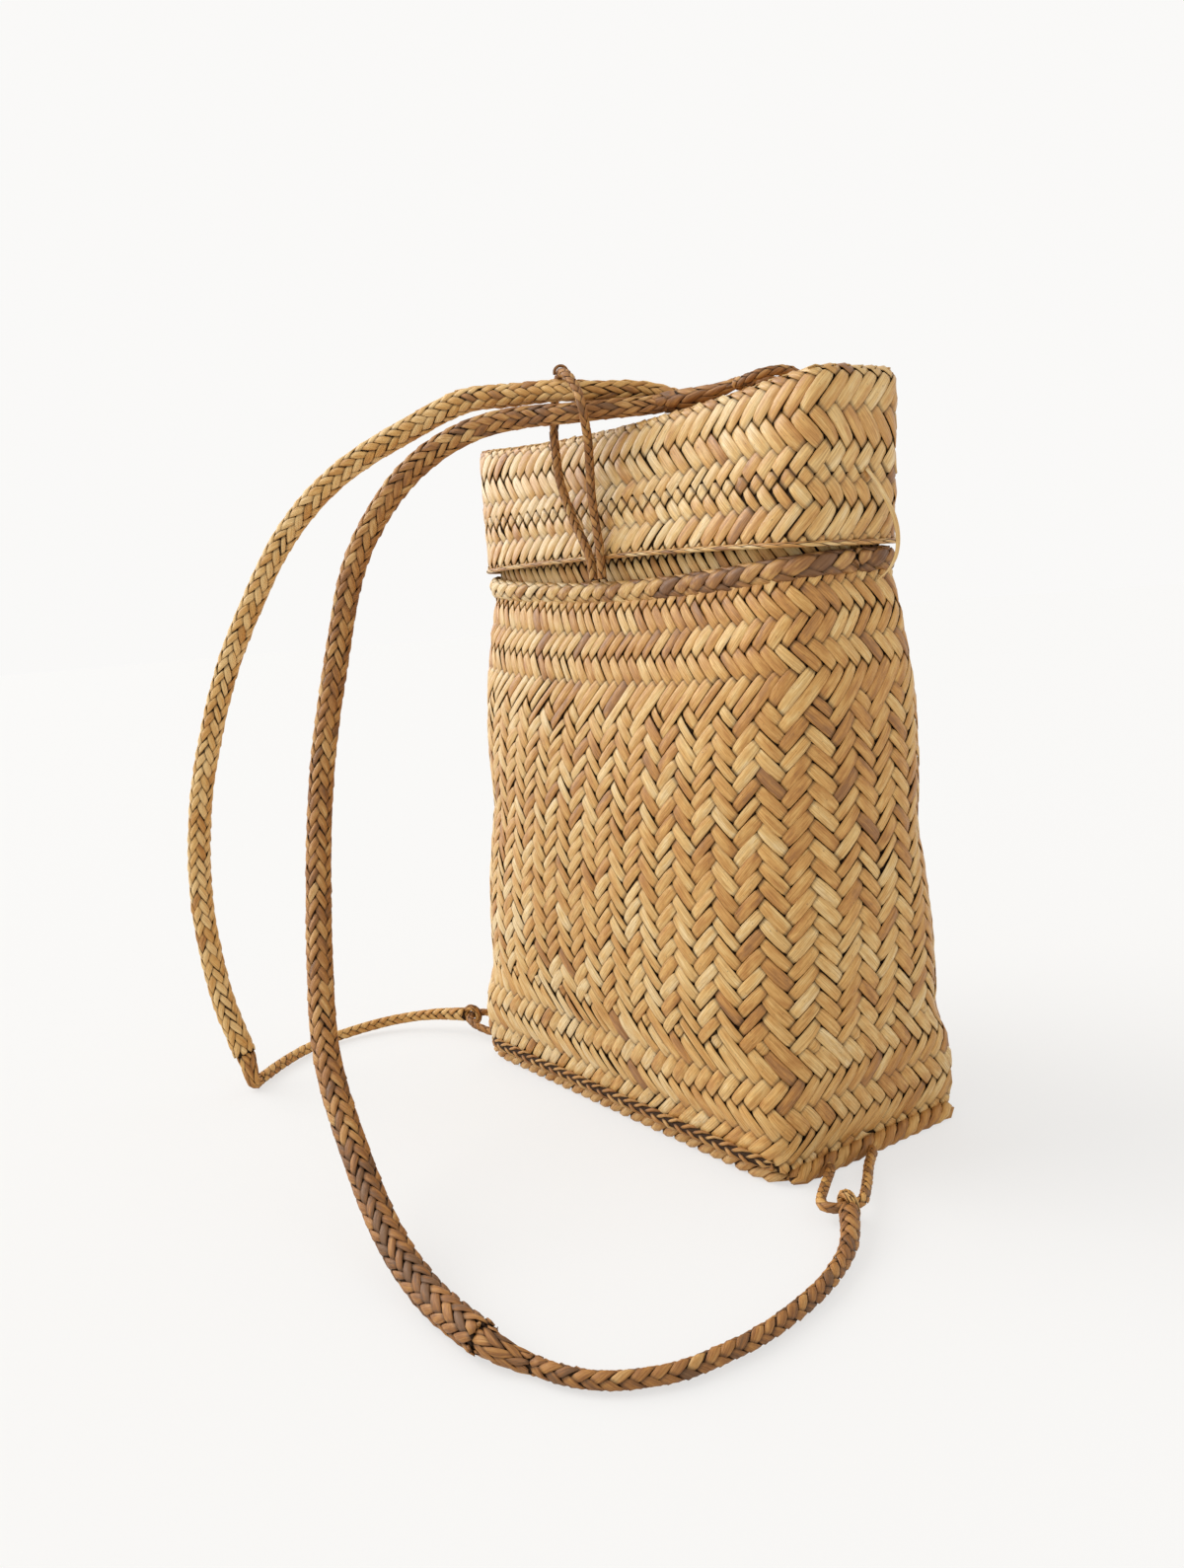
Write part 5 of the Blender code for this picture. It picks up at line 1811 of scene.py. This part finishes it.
@dataclass
class Studio:
    """Camera, floor, world and lamps."""

    camera_place: Point = (0.57249, -0.46731, 0.28975)
    heading: float = math.radians(54.88)
    pitch: float = math.radians(7.682)
    roll: float = math.radians(-4.393)
    sensor_height: float = 36.0
    focal_share: float = 1250 / 1589
    nearest: float = 0.01
    white: tuple[float, float, float, float] = (1.0, 0.992, 0.98, 1)
    world_strength: float = 0.80
    seen_world_strength: float = 0.955
    floor_size: float = 60
    floor_height: float = -0.0004
    floor_colour: tuple[float, float, float, float] = (0.84, 0.835, 0.82, 1)
    floor_roughness: float = 0.9
    floor_glow: float = 0.922
    glow_share: float = 0.7

    def place_camera(self) -> None:
        """Sets the camera where the photograph was taken from."""
        forward = Vector((-math.sin(self.heading) * math.cos(self.pitch),
                          math.cos(self.heading) * math.cos(self.pitch), -math.sin(self.pitch)))
        across = Vector((math.cos(self.heading), math.sin(self.heading), 0))
        upright = across.cross(forward)
        right = math.cos(self.roll) * across + math.sin(self.roll) * upright
        up = -math.sin(self.roll) * across + math.cos(self.roll) * upright
        data = bpy.data.cameras.new("camera")
        data.sensor_fit = "VERTICAL"
        data.sensor_height = self.sensor_height
        data.lens = self.sensor_height * self.focal_share
        data.clip_start = self.nearest
        camera = bpy.data.objects.new("camera", data)
        turn = Matrix((right, up, -forward)).transposed().to_4x4()
        camera.matrix_world = Matrix.Translation(self.camera_place) @ turn
        bpy.context.scene.collection.objects.link(camera)
        bpy.context.scene.camera = camera

    def add_sun(self, name: str, source: Point, angle: float, strength: float) -> None:
        """Adds an even light that comes from a direction, so that the floor keeps one brightness.

        Args:
            name: the lamp's name.
            source: direction that it comes from.
            angle: how wide its source looks.
            strength: its strength.
        """
        data = bpy.data.lights.new(name, "SUN")
        data.angle = angle
        data.energy = strength
        lamp = bpy.data.objects.new(name, data)
        lamp.rotation_euler = (-Vector(source)).to_track_quat("-Z", "Y").to_euler()
        bpy.context.scene.collection.objects.link(lamp)

    def seen_rays(self, nodes: Nodes) -> Socket:
        """Tells the rays that show a surface to the camera, in a mirror or through glass too.

        Args:
            nodes: the nodes of the world or material.

        Returns:
            One for such a ray and zero for the others.
        """
        path = nodes.add("ShaderNodeLightPath")
        seen = nodes.math("MAXIMUM", path.outputs["Is Camera Ray"], path.outputs["Is Glossy Ray"])
        return nodes.math("MAXIMUM", seen, path.outputs["Is Transmission Ray"])

    def build_world(self) -> None:
        """Lights the scene softly and shows plain white behind it."""
        world = bpy.data.worlds.new("studio_world")
        bpy.context.scene.world = world
        world.use_nodes = True
        nodes = Nodes(world.node_tree)
        background = world.node_tree.nodes["Background"]
        seen = self.seen_rays(nodes)
        strength = nodes.spread(seen, 0.0, 1.0, self.world_strength, self.seen_world_strength)
        background.inputs["Color"].default_value = self.white
        world.node_tree.links.new(strength, background.inputs["Strength"])

    def build_floor(self) -> None:
        """Adds the pale floor."""
        bpy.ops.object.select_all(action="DESELECT")
        bpy.ops.mesh.primitive_plane_add(size=self.floor_size, location=(0, 0, self.floor_height))
        floor = bpy.context.object
        floor.name = "floor"
        material = bpy.data.materials.new("pale_floor")
        material.use_nodes = True
        tree = material.node_tree
        nodes = Nodes(tree)
        shader = tree.nodes["Principled BSDF"]
        shader.inputs["Base Color"].default_value = self.floor_colour
        shader.inputs["Roughness"].default_value = self.floor_roughness
        glow = nodes.add("ShaderNodeEmission", {"Color": self.white, "Strength": self.floor_glow})
        seen = nodes.math("MULTIPLY", self.seen_rays(nodes), self.glow_share)
        both = nodes.add("ShaderNodeMixShader", {0: seen, 1: shader.outputs[0], 2: glow.outputs[0]})
        tree.links.new(both.outputs[0], tree.nodes["Material Output"].inputs["Surface"])
        floor.data.materials.append(material)

    def build(self) -> None:
        """Sets up the whole studio."""
        self.place_camera()
        self.build_world()
        self.build_floor()
        self.add_sun("key", (-0.9, -0.75, 1.0), math.radians(45), 1.5)
        self.add_sun("sheen", (-1.0, -0.30, 0.38), math.radians(40), 0.9)
        bpy.context.scene.view_settings.view_transform = "Standard"


def main() -> None:
    """Builds the dressed basket and its studio."""
    logging.basicConfig(level=logging.INFO, format="%(name)s: %(message)s")
    Studio().build()
    fibres = fibre_group()
    wall, lid, rim, neck, dark, golden = (finish.build(fibres) for finish in (
        StripFinish("plaited_wall_strips", STRAW_PALETTE),
        StripFinish("lid_strips", STRAW_PALETTE, roughness=0.33, specular=0.45),
        StripFinish("rim_strips", RIM_PALETTE),
        # The neck, in the lid's shadow, gets its gaps painted fully in shade
        StripFinish("neck_strips", STRAW_PALETTE, roughness=0.55, gap_shade_depth=1.0),
        StripFinish("dark_braid_strips", BRAID_PALETTE, roughness=0.55, blotch_depth=0.5, fineness=1.2),
        StripFinish("golden_braid_strips", GOLDEN_BRAID_PALETTE, roughness=0.55, fineness=1.2)))
    form = BodyForm()
    basket = Basket(form)
    basket.build_wall(wall)
    basket.build_neck(neck)
    basket.build_rim(rim)
    basket.build_base(wall)
    basket.build_edgings(dark, golden)
    cover = Lid(form)
    cover.build_wall(lid)
    cover.build_hem(lid)
    cover.build_top(lid)
    straps = Straps()
    straps.build_straps(dark, golden)
    straps.build_loops(dark, golden)
    straps.build_binding(dark)
    straps.build_rounds(dark, golden)
    straps.build_tether(wall)


if __name__ == "__main__":
    main()
